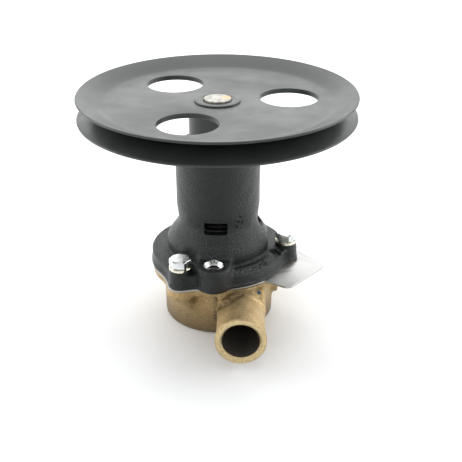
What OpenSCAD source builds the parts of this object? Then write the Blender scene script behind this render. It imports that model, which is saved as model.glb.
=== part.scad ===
// Belt driven flexible impeller pump, standing on the closed end of its bronze body.
// The shaft runs up the Z axis, and the origin is where that axis meets the table.
// The two hose ports lie along Y, and the cam and its screw are on the +X side.

/* [Pump body] */
// Height of the body, up to its flange face
body_h = 37.4; // [34:0.1:42]
// Radius of the chamber that the impeller turns in
chamber_r = 32.5; // [30:0.1:34]
// Thickness of the cup's round wall
cup_wall = 4.6; // [3:0.1:5.5]
// Thickness of the chamber's floor
floor_t = 6; // [4:0.1:8]
// Radius of the flange under the wear plate
flange_r = 45; // [43.5:0.1:47]
// Thickness of the body's flange
flange_t = 4.4; // [3:0.1:6]
// Radius of the rounded edge that the body stands on
foot_round = 1.2; // [0.5:0.1:2.5]
// Size of the slope that joins the flange to the wall
flange_fillet = 2; // [1:0.1:4]
// Height of the gusset under each bolt ear
gusset_h = 19; // [14:0.1:24]
// Radius of the gusset's foot in the wall
gusset_foot_r = 5; // [4:0.1:6]

/* [Hose ports] */
// Distance from the shaft to the line of the ports
port_offset = 16; // [14:0.1:18]
// Outer radius of the port tubes
port_r = 15.5; // [14.5:0.1:15.6]
// Radius of the waterway
port_bore_r = 12; // [10:0.1:12.5]
// Length of the narrower passage between each waterway and the chamber
passage_l = 3.2; // [2:0.1:6]
// How much narrower that passage is than the waterway
passage_step = 0.6; // [0.3:0.1:2]
// Distance from the shaft to each port's end face
port_reach = 79.7; // [70:0.1:85]
// Distance from the shaft to the end of the block that carries each tube
port_block_reach = 47; // [44:0.1:52]
// Size of the slope at the block's upper edge
port_block_slope = 3.5; // [2:0.1:5]
// How far the bead stands out of the tube
bead_out = 0.8; // [0.4:0.1:1.5]
// Length of the bead at the port's end
bead_w = 3; // [2:0.1:6]

/* [Bolts] */
// Radius of the circle of bolts
bolt_circle_r = 46; // [45:0.1:48]
// Angle of the first bolt, from +X
bolt_start = -0.7; // [-10:0.1:10]
// Radius of the bolts' thread
bolt_r = 4; // [3:0.1:4.5]
// Width of the hexagon heads across their flats
bolt_af = 12.7; // [11:0.1:13.5]
// Height of the hexagon heads
bolt_head_h = 5.5; // [4:0.1:7]
// Depth of the bolts' thread in the body
bolt_bite = 8; // [5:0.1:9]
// Outer radius of the lock washers
washer_r = 7.2; // [6.8:0.1:7.4]
// Thickness of the lock washers
washer_t = 2; // [1.2:0.1:2.5]
// Width of the split in the lock washers
washer_split = 1.6; // [1:0.1:3]
// Radius of the bolt ears on the body, gaskets and plate
ear_r = 7.9; // [7.5:0.1:9]

/* [Wear plate and gaskets] */
// Thickness of the stainless wear plate
plate_t = 1.2; // [0.8:0.1:2]
// How far the plate stands out past the flange
plate_out = 0.6; // [0.2:0.1:1.5]
// Radius of the shaft's hole in the plate
plate_hole_r = 10.5; // [9.5:0.1:12]
// Thickness of each gasket
gasket_t = 0.3; // [0.2:0.1:0.8]
// Direction in which the plate's tab points, from +X
tab_dir = -40.6; // [-50:0.1:-35]
// Distance from the shaft to the tab's outer edge
tab_reach = 63.2; // [58:0.1:70]
// Distance of the tab's centre line from the shaft
tab_mid = 18; // [14:0.1:20]
// Width of the tab's outer edge
tab_w = 40.3; // [34:0.1:44]
// Angle by which each side of the tab closes in
tab_taper = 9.2; // [4:0.1:12]
// Radius of the tab's corners
tab_corner_r = 5; // [2:0.1:8]

/* [Bearing housing] */
// Radius of the housing's flange
housing_flange_r = 45.2; // [43.5:0.1:46.5]
// Height of the flange's top above the housing's face
housing_flange_h = 9.4; // [7:0.1:11]
// Height of the rim round the flange's foot
rim_h = 2; // [1:0.1:4]
// How far that rim stands out
rim_out = 0.6; // [0.3:0.1:1.2]
// Height of the bolt lugs above the housing's face
lug_h = 11.8; // [11.2:0.1:13]
// Radius of the bolt lugs
lug_r = 7.4; // [7.2:0.1:8]
// Greatest radius of the bell above the flange
bell_r = 34.5; // [33.5:0.1:35.5]
// Radius where the bell meets the flange
bell_foot_r = 33; // [31:0.1:33.4]
// Height of the bell's widest place above the housing's face
bell_h = 15.6; // [13:0.1:18]
// Radius of the waist
waist_r = 26.7; // [25.5:0.1:27.2]
// Height of the waist above the housing's face
waist_h = 31.8; // [29:0.1:34]
// Radius of the scallop that clears a spanner from the bell round each bolt
scallop_r = 13.4; // [12:0.1:14]
// Radius of the tube round the bearings
tube_r = 27.7; // [26.5:0.1:29]
// Length over which the waist widens to the tube
tube_blend = 12; // [8:0.1:14]
// Radius of the drain chamber round the slinger
drain_r = 20.5; // [18:0.1:21.5]
// Height of the drain chamber's floor above the housing's face
drain_floor_h = 12; // [11:0.1:14]

/* [Weep windows] */
// Width of the front window
window_w = 15.2; // [10:0.1:18]
// Height of the front window
window_h = 8.4; // [5:0.1:9]
// Height of the front window's middle above the housing's face
window_mid_h = 33.7; // [31:0.1:34]
// Angle of the front window, from +X
window_az = -92; // [-100:0.5:-85]
// Width of the side window
side_window_w = 10; // [6:0.1:12]
// Height of the side window
side_window_h = 6.8; // [4:0.1:8]
// Height of the side window's middle above the housing's face
side_window_mid_h = 27.9; // [26:0.1:31]
// Angle of the side window, from +X
side_window_az = 2; // [-10:0.5:10]

/* [Mounting bosses] */
// Distance from the shaft to the threaded holes
boss_at = 42.4; // [42:0.1:45]
// Angle of the front boss, from +X
boss_az = -92.5; // [-94:0.1:-90]
// Radius of the bosses
boss_r = 11.2; // [9.5:0.1:11.6]
// Height of the bosses above the housing's face
boss_h = 15.8; // [14:0.1:17]
// Radius of the threaded holes
boss_thread_r = 4; // [3:0.1:5]
// Depth of the threaded holes
boss_thread_h = 13; // [9:0.1:13.5]
// Radius of the chamfer at the mouth of the threaded holes
boss_mouth_r = 6.2; // [5.2:0.1:7]

/* [Bearings] */
// Outer radius of the ball bearings
bearing_r = 20; // [19:0.1:20.5]
// Radius of the ball bearings' bore, which is the shaft's
bearing_bore_r = 8.5; // [8.4:0.1:9]
// Width of each ball bearing
bearing_w = 12; // [11:0.1:14]
// Radius of the balls
ball_r = 3.3; // [2.8:0.1:3.4]
// Number of balls in each bearing
ball_count = 8; // [6:1:8]
// Height of the lower bearing's seat above the housing's face
bearing_seat_h = 47.3; // [45.5:0.1:52]
// Length of the sleeve between the two bearings
spacer_h = 7.6; // [4:0.1:24]

/* [Seals] */
// Outer radius of the water seal
water_seal_r = 14; // [13:0.1:16]
// Width of the water seal
water_seal_w = 8; // [6:0.1:9]
// Outer radius of the oil seal
oil_seal_r = 15; // [14:0.1:16.5]
// Width of the oil seal
oil_seal_w = 5; // [4:0.1:6]
// Radius of the slinger's lip
slinger_r = 15.5; // [13:0.1:16.5]
// Height of the slinger's ring
slinger_h = 5; // [4:0.1:7]
// Wall of the slinger's ring round the shaft
slinger_wall = 3.5; // [2:0.1:5]
// Height of the slinger above the drain chamber's floor
slinger_up = 12; // [8:0.1:14]

/* [Shaft] */
// Radius of the shaft at the impeller and seals
tail_r = 8; // [7:0.1:8.1]
// Radius of the serrated end in the pulley's hub
head_r = 8.9; // [8.8:0.1:10]
// How far the shaft stands out of the hub
head_up = 0.8; // [0.2:0.1:3]
// Width of the impeller's key
key_w = 3; // [2.5:0.1:4]
// Length of the impeller's key
key_l = 24; // [18:0.1:26]
// Thickness of the snap rings
ring_t = 1.2; // [1:0.1:1.5]

/* [Impeller] */
// Number of vanes
vane_count = 10; // [8:1:12]
// Thickness of the vanes
vane_t = 2.6; // [2:0.1:3]
// Radius of the bulb along each vane's tip
bulb_r = 1.8; // [1.5:0.1:2.2]
// Radius of the rubber round the insert
rubber_r = 14.5; // [13.5:0.1:15.5]
// Outer radius of the brass insert
insert_r = 11.5; // [11:0.1:12.5]
// Least radius that the cam leaves the vanes
cam_low_r = 27.2; // [26:0.1:29]
// Radius of the cam's crowned face
cam_face_r = 50; // [40:1:80]
// Radius of the cam screw's thread
cam_screw_r = 2.5; // [2:0.1:3]
// Radius of the screw boss on the body's side
cam_boss_r = 9; // [7:0.1:9.5]
// Distance from the shaft to the screw boss's face
cam_boss_reach = 40.9; // [39.5:0.1:43]
// Radius of the cam screw's head
cam_head_r = 4.5; // [4:0.1:6]
// Height of the cam screw's head
cam_head_h = 3.5; // [2.5:0.1:5]

/* [Pulley] */
// Radius of the pulley's rim
rim_r = 89; // [84:0.1:95]
// Thickness of each stamped disc
sheet_t = 1.6; // [1.2:0.1:2.5]
// Angle by which the discs' outer bands lean apart
cone_angle = 22.5; // [17:0.1:25]
// Radius at which the flat web turns into the outer band
web_r = 73.7; // [70:0.1:77]
// Inner radius of the bend between web and band
bend_r = 3; // [1.5:0.1:5]
// Radius of the three large holes
hole_r = 18.8; // [14:0.1:20]
// Distance from the shaft to the large holes
hole_at = 46.15; // [43:0.1:50]
// Angle of the first large hole, from +X
hole_az = 9.5; // [0:0.5:20]
// Radius of the hub under the discs
hub_r = 18.5; // [17:0.1:20]
// Length of the hub under the discs
hub_h = 23.8; // [16:0.1:30]
// Radius of the hub's collar in the discs
collar_r = 14.7; // [12:0.1:16]
// How far the collar stands out of the upper disc
collar_up = 1; // [0.4:0.1:3]
// Size of the weld bead round the hub
weld_w = 1.6; // [0.8:0.1:2.5]
// Gap between the hub and the top of the housing
hub_gap = 2; // [1:0.1:4]

/* [Hidden] */
$fn = 96;

// Gap between pieces that sit tight on each other
fit_gap = 0.02;
// Gap between the shaft and a seal's lip
seal_gap = 0.06;
// Gap between a ball and its races
ball_gap = 0.2;
// Gap beside a bolt or screw in a plain hole
hole_gap = 0.3;
// Gap between the impeller and what it runs against
vane_gap = 0.3;
// How far one cut reaches past the face it opens
past = 1;

// Heights of the joint faces, from the table up
plate_z = body_h + gasket_t;
housing_z = plate_z + plate_t + gasket_t;
cup_r = chamber_r + cup_wall;
chamber_mid_z = (floor_t + body_h) / 2;

// The port tubes stay just under the flange face
port_cover = 0.1;
port_z = body_h - port_r - port_cover;
// Distance from the shaft to the inner end of each waterway
waterway_in = chamber_r + passage_l;

// Bolts: one on the +X side and two at 120 degrees from it
bolt_azimuths = [bolt_start, bolt_start - 120, bolt_start + 120];
// The front left ear runs out of the flange almost straight, the others have a hollow neck
neck_radii = [6, 40, 6];
// How each hexagon head came to rest when it was tightened
head_turns = [45, 56, 20];
bolt_seat_z = housing_z + lug_h;
bolt_head_z = bolt_seat_z + washer_t;
spot_face_r = washer_r + 0.6;
// The lugs draw in a little above the flange, and the gussets a little below the ears
lug_step = 0.3;
ear_step = 0.5;
// How far each neck cuts into the circles that it joins, so that they cross and don't just touch
neck_bite = 0.05;
// How far two forms of one piece run into each other
overlap = 0.5;
// Step that keeps the body's ears from lying flush with the rim of its flange
rim_step = 0.1;

// Stations along the housing
lower_seat_z = housing_z + bearing_seat_h;
upper_seat_z = lower_seat_z + bearing_w + spacer_h;
stack_top_z = upper_seat_z + bearing_w;
inner_ring_t = 1.6;
ring_play = 0.05;
ring_slot = ring_t + 2 * ring_play;
inner_ring_slot = inner_ring_t + 2 * ring_play;
// Radius of the groove in the housing, and of the floor of those in the shaft
snap_groove_r = bearing_r + 1.3;
ring_groove_r = bearing_bore_r - 0.4;
// Width of the opening in each snap ring
outer_opening = 9;
inner_opening = 5;
top_lip = 1.8;
housing_top_z = stack_top_z + inner_ring_slot + top_lip;
web_t = 2;
seal_bore_h = drain_floor_h - web_t;
seal_below_seat = 2;
oil_seal_z = lower_seat_z - seal_below_seat - oil_seal_w;
drain_top_z = oil_seal_z - web_t;
slinger_z = housing_z + drain_floor_h + slinger_up;
web_hole_r = tail_r + 3;

// Ball bearing: pitch circle midway between bore and outside
pitch_r = (bearing_r + bearing_bore_r) / 2;
groove_r = ball_r + ball_gap;
race_land = 2.15;
shield_t = 0.8;
shield_in = 0.3;
shield_bite = 0.45;
cage_land = 1.35;
cage_wall = 0.75;
pocket_gap = 0.15;

// Pulley stations
hub_z = housing_top_z + hub_gap;
lower_web_z = hub_z + hub_h;
disc_joint_z = lower_web_z + sheet_t;
upper_web_z = disc_joint_z + sheet_t;
collar_z = upper_web_z + collar_up;
shaft_top_z = collar_z + head_up;
tail_gap = 1.5;
shoulder_w = 0.5;
head_in = 1.5;
shaft_low_z = floor_t + tail_gap;
shaft_step_z = lower_seat_z - ring_slot - shoulder_w;
head_low_z = hub_z + head_in;

// The impeller fills the chamber between its floor and the wear plate
impeller_low_z = floor_t + vane_gap;
impeller_top_z = plate_z - vane_gap;
impeller_h = impeller_top_z - impeller_low_z;
key_depth = 1.6;
// Metal left between the cam's screw hole and its crowned face
cam_skin = 1.5;
key_top_r = tail_r - key_depth + key_w;

bronze = [0.72, 0.55, 0.33];
iron = [0.17, 0.18, 0.19];
zinc = [0.80, 0.82, 0.82];
stainless = [0.78, 0.79, 0.78];
steel = [0.62, 0.63, 0.65];
pulley_black = [0.12, 0.12, 0.13];
paper = [0.45, 0.33, 0.20];
black_rubber = [0.09, 0.09, 0.10];
brass = [0.80, 0.65, 0.32];

// Points along an arc from angle a0 to angle a1
function arc(centre, r, a0, a1, steps) =
    [for (i = [0:steps]) let (a = a0 + (a1 - a0) * i / steps) centre + r * [cos(a), sin(a)]];

// A smooth step from 0 to 1
function smooth(t) = t * t * (3 - 2 * t);

// A plain ring from height z0 to height z1
module ring(r_in, r_out, z0, z1) {
    translate([0, 0, z0]) difference() {
        cylinder(r = r_out, h = z1 - z0);
        translate([0, 0, -past]) cylinder(r = r_in, h = z1 - z0 + 2 * past);
    }
}

// Everything inside, once at each bolt
module at_bolts() {
    for (a = bolt_azimuths) rotate(a) translate([bolt_circle_r, 0, 0]) children();
}

// Plan of one bolt ear along +X, with a round neck on both sides that runs into a circle
module ear_plan(base_r, end_r, at_r, neck_r) {
    from_axis = base_r + neck_r;
    from_ear = end_r + neck_r;
    a = acos((from_axis ^ 2 + at_r ^ 2 - from_ear ^ 2) / (2 * from_axis * at_r));
    neck = from_axis * [cos(a), sin(a)];
    difference() {
        polygon([[0, 0], [neck.x, -neck.y], [at_r, 0], neck]);
        for (side = [-1, 1]) translate([neck.x, side * neck.y]) circle(r = neck_r + neck_bite);
    }
    translate([at_r, 0]) circle(r = end_r);
}

// Plan of a round flange with its three bolt ears
module flange_plan(base_r, end_r) {
    circle(r = base_r);
    for (k = [0:2]) rotate(bolt_azimuths[k]) ear_plan(base_r, end_r, bolt_circle_r, neck_radii[k]);
}

// Plan of the plate's tab, narrower at its outer edge, with rounded corners
module tab_plan() {
    corner_u = tab_reach - tab_corner_r;
    corner_v = tab_w / 2 + tab_corner_r * (tan(tab_taper) - 1 / cos(tab_taper));
    side_u = corner_u + tab_corner_r * sin(tab_taper);
    side_v = corner_v + tab_corner_r * cos(tab_taper);
    root_u = flange_r / 2;
    root_v = tab_w / 2 + (tab_reach - root_u) * tan(tab_taper);
    rotate(tab_dir) translate([0, tab_mid]) {
        polygon([[root_u, -root_v], [side_u, -side_v], [corner_u, -corner_v], [tab_reach, -corner_v],
            [tab_reach, corner_v], [corner_u, corner_v], [side_u, side_v], [root_u, root_v]]);
        for (side = [-1, 1]) translate([corner_u, side * corner_v]) circle(r = tab_corner_r);
    }
}

// Outer form of the cup: rounded foot, wall, and flange at the top
module cup_form() {
    rotate_extrude() polygon(concat(
        [[0, 0]],
        arc([cup_r - foot_round, foot_round], foot_round, -90, 0, 6),
        [[cup_r, body_h - flange_t - flange_fillet], [cup_r + flange_fillet, body_h - flange_t],
            [flange_r, body_h - flange_t], [flange_r, body_h], [0, body_h]]));
}

// Gusset under one bolt ear, which slopes in and dies out in the cup's wall
module ear_gusset() {
    top_z = body_h - flange_t / 2;
    top_r = ear_r - ear_step;
    root_at = cup_r - gusset_foot_r - past;
    hull() {
        translate([bolt_circle_r, 0, top_z - flange_t]) cylinder(r = top_r, h = flange_t, $fn = 32);
        translate([root_at, 0, top_z - flange_t]) cylinder(r = top_r, h = flange_t, $fn = 32);
        translate([root_at, 0, body_h - flange_t - gusset_h])
            cylinder(r = gusset_foot_r, h = past, $fn = 32);
    }
}

// The block that fills the space between the port tubes and the flange, with a sloped end on both sides
module port_block() {
    slope = port_block_slope;
    right_half = [[port_block_reach, port_z], [port_block_reach, body_h - 2 * slope],
        [port_block_reach - slope, body_h - slope], [flange_r - slope, body_h - overlap]];
    left_half = [for (k = [len(right_half) - 1:-1:0]) [-right_half[k].x, right_half[k].y]];
    translate([port_offset + port_r, 0, 0]) rotate([90, 0, -90]) linear_extrude(2 * port_r)
        polygon(concat(right_half, left_half));
}

// The two port tubes in one line, with a bead at each end
module port_tubes() {
    translate([port_offset, 0, port_z]) rotate([90, 0, 0]) {
        cylinder(r = port_r, h = 2 * port_reach, center = true);
        for (side = [-1, 1]) translate([0, 0, side * (port_reach - bead_w / 2)])
            cylinder(r = port_r + bead_out, h = bead_w, center = true);
    }
}

module cam_boss() {
    edge = 1.5;
    translate([0, 0, chamber_mid_z]) rotate([0, 90, 0]) {
        cylinder(r = cam_boss_r, h = cam_boss_reach - edge);
        translate([0, 0, cam_boss_reach - edge]) cylinder(r1 = cam_boss_r, r2 = cam_boss_r - edge, h = edge);
    }
}

module pump_body() {
    color(bronze) difference() {
        union() {
            cup_form();
            translate([0, 0, body_h - flange_t]) linear_extrude(flange_t)
                flange_plan(flange_r - rim_step, ear_r);
            for (a = bolt_azimuths) rotate(a) ear_gusset();
            port_block();
            port_tubes();
            cam_boss();
        }
        translate([0, 0, floor_t]) cylinder(r = chamber_r, h = body_h);
        for (side = [-1, 1]) translate([port_offset, 0, port_z]) rotate([side * 90, 0, 0]) {
            cylinder(r = port_bore_r - passage_step, h = waterway_in + overlap);
            translate([0, 0, waterway_in]) cylinder(r = port_bore_r, h = port_reach - waterway_in + past);
        }
        at_bolts() translate([0, 0, body_h - bolt_bite - past])
            cylinder(r = bolt_r + fit_gap, h = bolt_bite + 2 * past);
        translate([0, 0, chamber_mid_z]) rotate([0, 90, 0])
            cylinder(r = cam_screw_r + hole_gap, h = cam_boss_reach + past);
        // Spot face that clears the cam screw's head from the gusset
        translate([cam_boss_reach, 0, chamber_mid_z]) rotate([0, 90, 0])
            cylinder(r = cam_head_r + past, h = bolt_circle_r);
    }
}

// Crescent between the two ports, thin at both ends
module cam() {
    end_land = 1;
    color(bronze) difference() {
        intersection() {
            translate([0, 0, floor_t]) cylinder(r = chamber_r - fit_gap, h = body_h - floor_t);
            translate([cam_low_r + cam_face_r, 0, floor_t]) cylinder(r = cam_face_r, h = body_h - floor_t);
            translate([0, -cam_half_w() + end_land, 0])
                cube([2 * cup_r, 2 * (cam_half_w() - end_land), 2 * body_h]);
        }
        translate([cam_low_r + cam_skin, 0, chamber_mid_z]) rotate([0, 90, 0])
            cylinder(r = cam_screw_r + fit_gap, h = chamber_r);
    }
}

// Half the width at which the cam's crowned face meets the chamber's wall
function cam_half_w() =
    let (c = cam_low_r + cam_face_r, x = (c ^ 2 - cam_face_r ^ 2 + chamber_r ^ 2) / (2 * c))
    sqrt(chamber_r ^ 2 - x ^ 2);

module cam_screw() {
    slot_w = 1.2;
    slot_h = 1.4;
    tip_x = cam_low_r + cam_skin + overlap;
    color(brass) translate([0, 0, chamber_mid_z]) rotate([0, 90, 0]) difference() {
        union() {
            translate([0, 0, tip_x]) cylinder(r = cam_screw_r, h = cam_boss_reach - tip_x + overlap);
            translate([0, 0, cam_boss_reach]) cylinder(r = cam_head_r, h = cam_head_h);
        }
        translate([-slot_w / 2, -cam_head_r - past, cam_boss_reach + cam_head_h - slot_h])
            cube([slot_w, 2 * (cam_head_r + past), slot_h + past]);
    }
}

// Radius that is free for a vane's tip in the direction a: the cam's face, or else the chamber's wall
function free_r(a) =
    let (c = cam_low_r + cam_face_r, turned = c * sin(a), inside = cam_face_r ^ 2 - turned ^ 2)
    (cos(a) > 0 && inside > 0) ? min(chamber_r, c * cos(a) - sqrt(inside)) : chamber_r;

// Radius of a tip's centre, kept clear of the slope on both sides of it
function tip_r(a) = min([for (d = [-6:2:6]) free_r(a + d)]) - bulb_r - vane_gap;

// A vane keeps its length, so the nearer its tip is to the axis, the further it lags
vane_slack = 0.6;
vane_l = chamber_r - vane_gap - bulb_r - rubber_r + vane_slack;
// Least distance by which a tip lags, and the greatest share of its radius
least_lag = 0.1;
most_lag = 0.95;
function lag(r) = asin(min(most_lag, sqrt(max(least_lag ^ 2, vane_l ^ 2 - (r - rubber_r) ^ 2)) / r));
function tip_az(root_az) = root_az - lag(tip_r(root_az - lag(tip_r(root_az))));

// Point of a vane's middle line, t = 0 at its root and 1 at its tip
function vane_point(root_az, t) =
    let (tip = tip_az(root_az), r_end = tip_r(tip), r_root = rubber_r - overlap,
        r = r_root + (r_end - r_root) * t, a = root_az + (tip - root_az) * t ^ 2)
    r * [cos(a), sin(a)];

module vane(root_az) {
    steps = 8;
    // The vane thins from its root to its tip
    root_share = 1.25;
    tip_share = 0.9;
    widths = [for (i = [0:steps]) vane_t * (root_share + (tip_share - root_share) * i / steps) / 2];
    mid = [for (i = [0:steps]) vane_point(root_az, i / steps)];
    ahead = [for (i = [0:steps]) mid[min(i + 1, steps)] - mid[max(i - 1, 0)]];
    side = [for (d = ahead) [-d.y, d.x] / norm(d)];
    linear_extrude(impeller_h) polygon(concat([for (i = [0:steps]) mid[i] + widths[i] * side[i]],
        [for (i = [steps:-1:0]) mid[i] - widths[i] * side[i]]));
    translate(mid[steps]) cylinder(r = bulb_r, h = impeller_h);
}

module impeller() {
    vane_start = 6;
    color(black_rubber) {
        ring(insert_r, rubber_r, impeller_low_z, impeller_top_z);
        for (k = [0:vane_count - 1])
            translate([0, 0, impeller_low_z]) vane(vane_start + k * 360 / vane_count);
    }
}

// Box that a key or its slot fills, on the +X side of the shaft
module key_form(gap) {
    translate([tail_r - key_depth - gap, -key_w / 2 - gap, chamber_mid_z - key_l / 2 - gap])
        cube([key_w + 2 * gap, key_w + 2 * gap, key_l + 2 * gap]);
}

module impeller_hub() {
    color(brass) difference() {
        ring(tail_r + fit_gap, insert_r, impeller_low_z, impeller_top_z);
        translate([0, -key_w / 2 - fit_gap, 0])
            cube([key_top_r + fit_gap, key_w + 2 * fit_gap, plate_z]);
    }
}

module impeller_key() {
    color(steel) key_form(0);
}

module gasket(z0) {
    color(paper) translate([0, 0, z0]) linear_extrude(gasket_t) difference() {
        flange_plan(flange_r, ear_r);
        circle(r = chamber_r);
        at_bolts() circle(r = bolt_r + hole_gap);
    }
}

module body_gasket() {
    gasket(body_h);
}

module housing_gasket() {
    gasket(plate_z + plate_t);
}

module wear_plate() {
    color(stainless) translate([0, 0, plate_z]) linear_extrude(plate_t) difference() {
        union() {
            flange_plan(flange_r + plate_out, ear_r + plate_out);
            tab_plan();
        }
        circle(r = plate_hole_r);
        at_bolts() circle(r = bolt_r + hole_gap);
    }
}

// Outer form of bell, waist and tube, from the flange up
module housing_tower() {
    steps = 12;
    top = housing_top_z - housing_z;
    edge = 1;
    rotate_extrude() polygon(concat(
        [[0, past], [bell_foot_r, past]],
        [for (a = [0:15:90]) [bell_foot_r + (bell_r - bell_foot_r) * sin(a),
            bell_h - (bell_h - housing_flange_h) * cos(a)]],
        [for (i = [1:steps]) [bell_r + (waist_r - bell_r) * smooth(i / steps),
            bell_h + (waist_h - bell_h) * i / steps]],
        [for (i = [1:steps / 2]) [waist_r + (tube_r - waist_r) * smooth(i * 2 / steps),
            waist_h + tube_blend * i * 2 / steps]],
        [[tube_r, top - edge], [tube_r - edge, top], [0, top]]));
}

// A boss with a rounded top edge, and the pad that joins it to the bell
module mounting_boss() {
    round_r = 2;
    translate([boss_at, 0, 0]) rotate_extrude() polygon(concat(
        [[0, 0], [boss_r, 0]],
        arc([boss_r - round_r, boss_h - round_r], round_r, 0, 90, 5),
        [[0, boss_h]]));
    // The pad starts inside the bell's wall
    pad_root = drain_r + past;
    for (inset = [0, round_r]) translate([pad_root, inset - boss_r, 0])
        cube([boss_at - pad_root, 2 * (boss_r - inset), boss_h - round_r + inset]);
}

module boss_thread() {
    mouth_h = boss_mouth_r - boss_thread_r;
    translate([boss_at, 0, boss_h - boss_thread_h]) cylinder(r = boss_thread_r, h = boss_thread_h + past);
    translate([boss_at, 0, boss_h - mouth_h])
        cylinder(r1 = boss_thread_r, r2 = boss_mouth_r + past, h = mouth_h + past);
}

// A rectangular window from the drain chamber out through the wall
module window(width, height, mid_h, azimuth) {
    rotate(azimuth) translate([0, -width / 2, mid_h - height / 2]) cube([2 * bell_r, width, height]);
}

module bearing_housing() {
    color(iron) translate([0, 0, housing_z]) difference() {
        union() {
            linear_extrude(rim_h) flange_plan(housing_flange_r + rim_out, lug_r + rim_out);
            linear_extrude(housing_flange_h) flange_plan(housing_flange_r, lug_r);
            at_bolts() cylinder(r = lug_r - lug_step, h = lug_h);
            difference() {
                housing_tower();
                at_bolts() translate([0, 0, housing_flange_h - overlap])
                    cylinder(r = scallop_r, h = waist_h);
            }
            rotate(boss_az) mounting_boss();
            rotate(boss_az + 180) mounting_boss();
        }
        // Seats for the water seal, the slinger's chamber, the oil seal and the bearings, from below
        translate([0, 0, -past]) cylinder(r = water_seal_r + fit_gap, h = seal_bore_h + past);
        cylinder(r = web_hole_r, h = drain_floor_h + past);
        translate([0, 0, drain_floor_h])
            cylinder(r = drain_r, h = drain_top_z - housing_z - drain_floor_h);
        translate([0, 0, drain_floor_h]) cylinder(r = web_hole_r, h = bearing_seat_h);
        translate([0, 0, oil_seal_z - housing_z])
            cylinder(r = oil_seal_r + fit_gap, h = bearing_seat_h);
        translate([0, 0, bearing_seat_h])
            cylinder(r = bearing_r + fit_gap, h = housing_top_z - housing_z);
        translate([0, 0, stack_top_z - housing_z])
            cylinder(r = snap_groove_r, h = inner_ring_slot);
        // Bolt holes and the flat seats that are cut round them
        at_bolts() translate([0, 0, -past]) cylinder(r = bolt_r + hole_gap, h = lug_h + 2 * past);
        at_bolts() translate([0, 0, lug_h]) cylinder(r = spot_face_r, h = bell_h);
        rotate(boss_az) boss_thread();
        rotate(boss_az + 180) boss_thread();
        window(window_w, window_h, window_mid_h, window_az);
        window(side_window_w, side_window_h, side_window_mid_h, side_window_az);
    }
}

// Lip seal between radius r and the shaft: a case wall, a web and a lip, open downwards
module lip_seal(r, z0, width) {
    wall = 1.6;
    lip_t = 1.3;
    lip_r = tail_r + seal_gap;
    lip_z = width / 4;
    root_z = width - wall;
    translate([0, 0, z0]) rotate_extrude() polygon([[r, 0], [r, width], [lip_r + 2 * lip_t, width],
        [lip_r + lip_t, root_z], [lip_r, lip_z + lip_t / 2], [lip_r, lip_z],
        [lip_r + lip_t, lip_z - lip_t / 2], [lip_r + 2 * lip_t, root_z], [r - wall, root_z], [r - wall, 0]]);
}

module water_seal() {
    color(black_rubber) lip_seal(water_seal_r, housing_z + seal_bore_h - water_seal_w, water_seal_w);
}

module oil_seal() {
    color(black_rubber) lip_seal(oil_seal_r, oil_seal_z, oil_seal_w);
}

// Ring on the shaft with a lip that flares up and out
module slinger() {
    base_r = tail_r + slinger_wall;
    lip_t = 1.2;
    rise = 2;
    color(black_rubber) translate([0, 0, slinger_z]) rotate_extrude()
        polygon([[tail_r + fit_gap, 0], [base_r, 0], [base_r, slinger_h - rise], [slinger_r, slinger_h],
            [slinger_r, slinger_h + lip_t], [base_r, slinger_h], [tail_r + fit_gap, slinger_h]]);
}

// Ring cut for the balls' groove, halfway up
module grooved_ring(r_in, r_out) {
    difference() {
        ring(r_in, r_out, 0, bearing_w);
        translate([0, 0, bearing_w / 2]) rotate_extrude() translate([pitch_r, 0]) circle(r = groove_r);
    }
}

module outer_race(z0) {
    color(steel) translate([0, 0, z0]) difference() {
        grooved_ring(pitch_r + race_land, bearing_r);
        for (z = [-past, bearing_w - shield_in - shield_t])
            translate([0, 0, z])
                cylinder(r = pitch_r + race_land + shield_bite, h = shield_in + shield_t + past);
    }
}

module inner_race(z0) {
    color(steel) translate([0, 0, z0]) grooved_ring(bearing_bore_r + fit_gap, pitch_r - race_land);
}

module at_balls(z0) {
    for (k = [0:ball_count - 1]) rotate(k * 360 / ball_count)
        translate([pitch_r, 0, z0 + bearing_w / 2]) children();
}

module balls(z0) {
    color(zinc) at_balls(z0) sphere(r = ball_r);
}

module cage(z0) {
    half_h = ball_r + pocket_gap + cage_wall;
    mid_z = z0 + bearing_w / 2;
    color(brass) difference() {
        ring(pitch_r - cage_land, pitch_r + cage_land, mid_z - half_h, mid_z + half_h);
        at_balls(z0) sphere(r = ball_r + pocket_gap);
    }
}

module shields(z0) {
    color(black_rubber) for (z = [z0 + shield_in, z0 + bearing_w - shield_in - shield_t])
        ring(pitch_r - race_land + hole_gap, pitch_r + race_land + shield_bite - fit_gap, z, z + shield_t);
}

module lower_bearing_outer_race() {
    outer_race(lower_seat_z);
}

module lower_bearing_inner_race() {
    inner_race(lower_seat_z);
}

module lower_bearing_balls() {
    balls(lower_seat_z);
}

module lower_bearing_cage() {
    cage(lower_seat_z);
}

module lower_bearing_shields() {
    shields(lower_seat_z);
}

module upper_bearing_outer_race() {
    outer_race(upper_seat_z);
}

module upper_bearing_inner_race() {
    inner_race(upper_seat_z);
}

module upper_bearing_balls() {
    balls(upper_seat_z);
}

module upper_bearing_cage() {
    cage(upper_seat_z);
}

module upper_bearing_shields() {
    shields(upper_seat_z);
}

module bearing_spacer() {
    color(steel) ring(bearing_bore_r + fit_gap, pitch_r - race_land, lower_seat_z + bearing_w, upper_seat_z);
}

// Open ring with its gap on the +X side
module snap_ring(r_in, r_out, z0, thickness, opening) {
    difference() {
        ring(r_in, r_out, z0, z0 + thickness);
        translate([0, -opening / 2, z0 - past]) cube([2 * r_out, opening, thickness + 2 * past]);
    }
}

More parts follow.
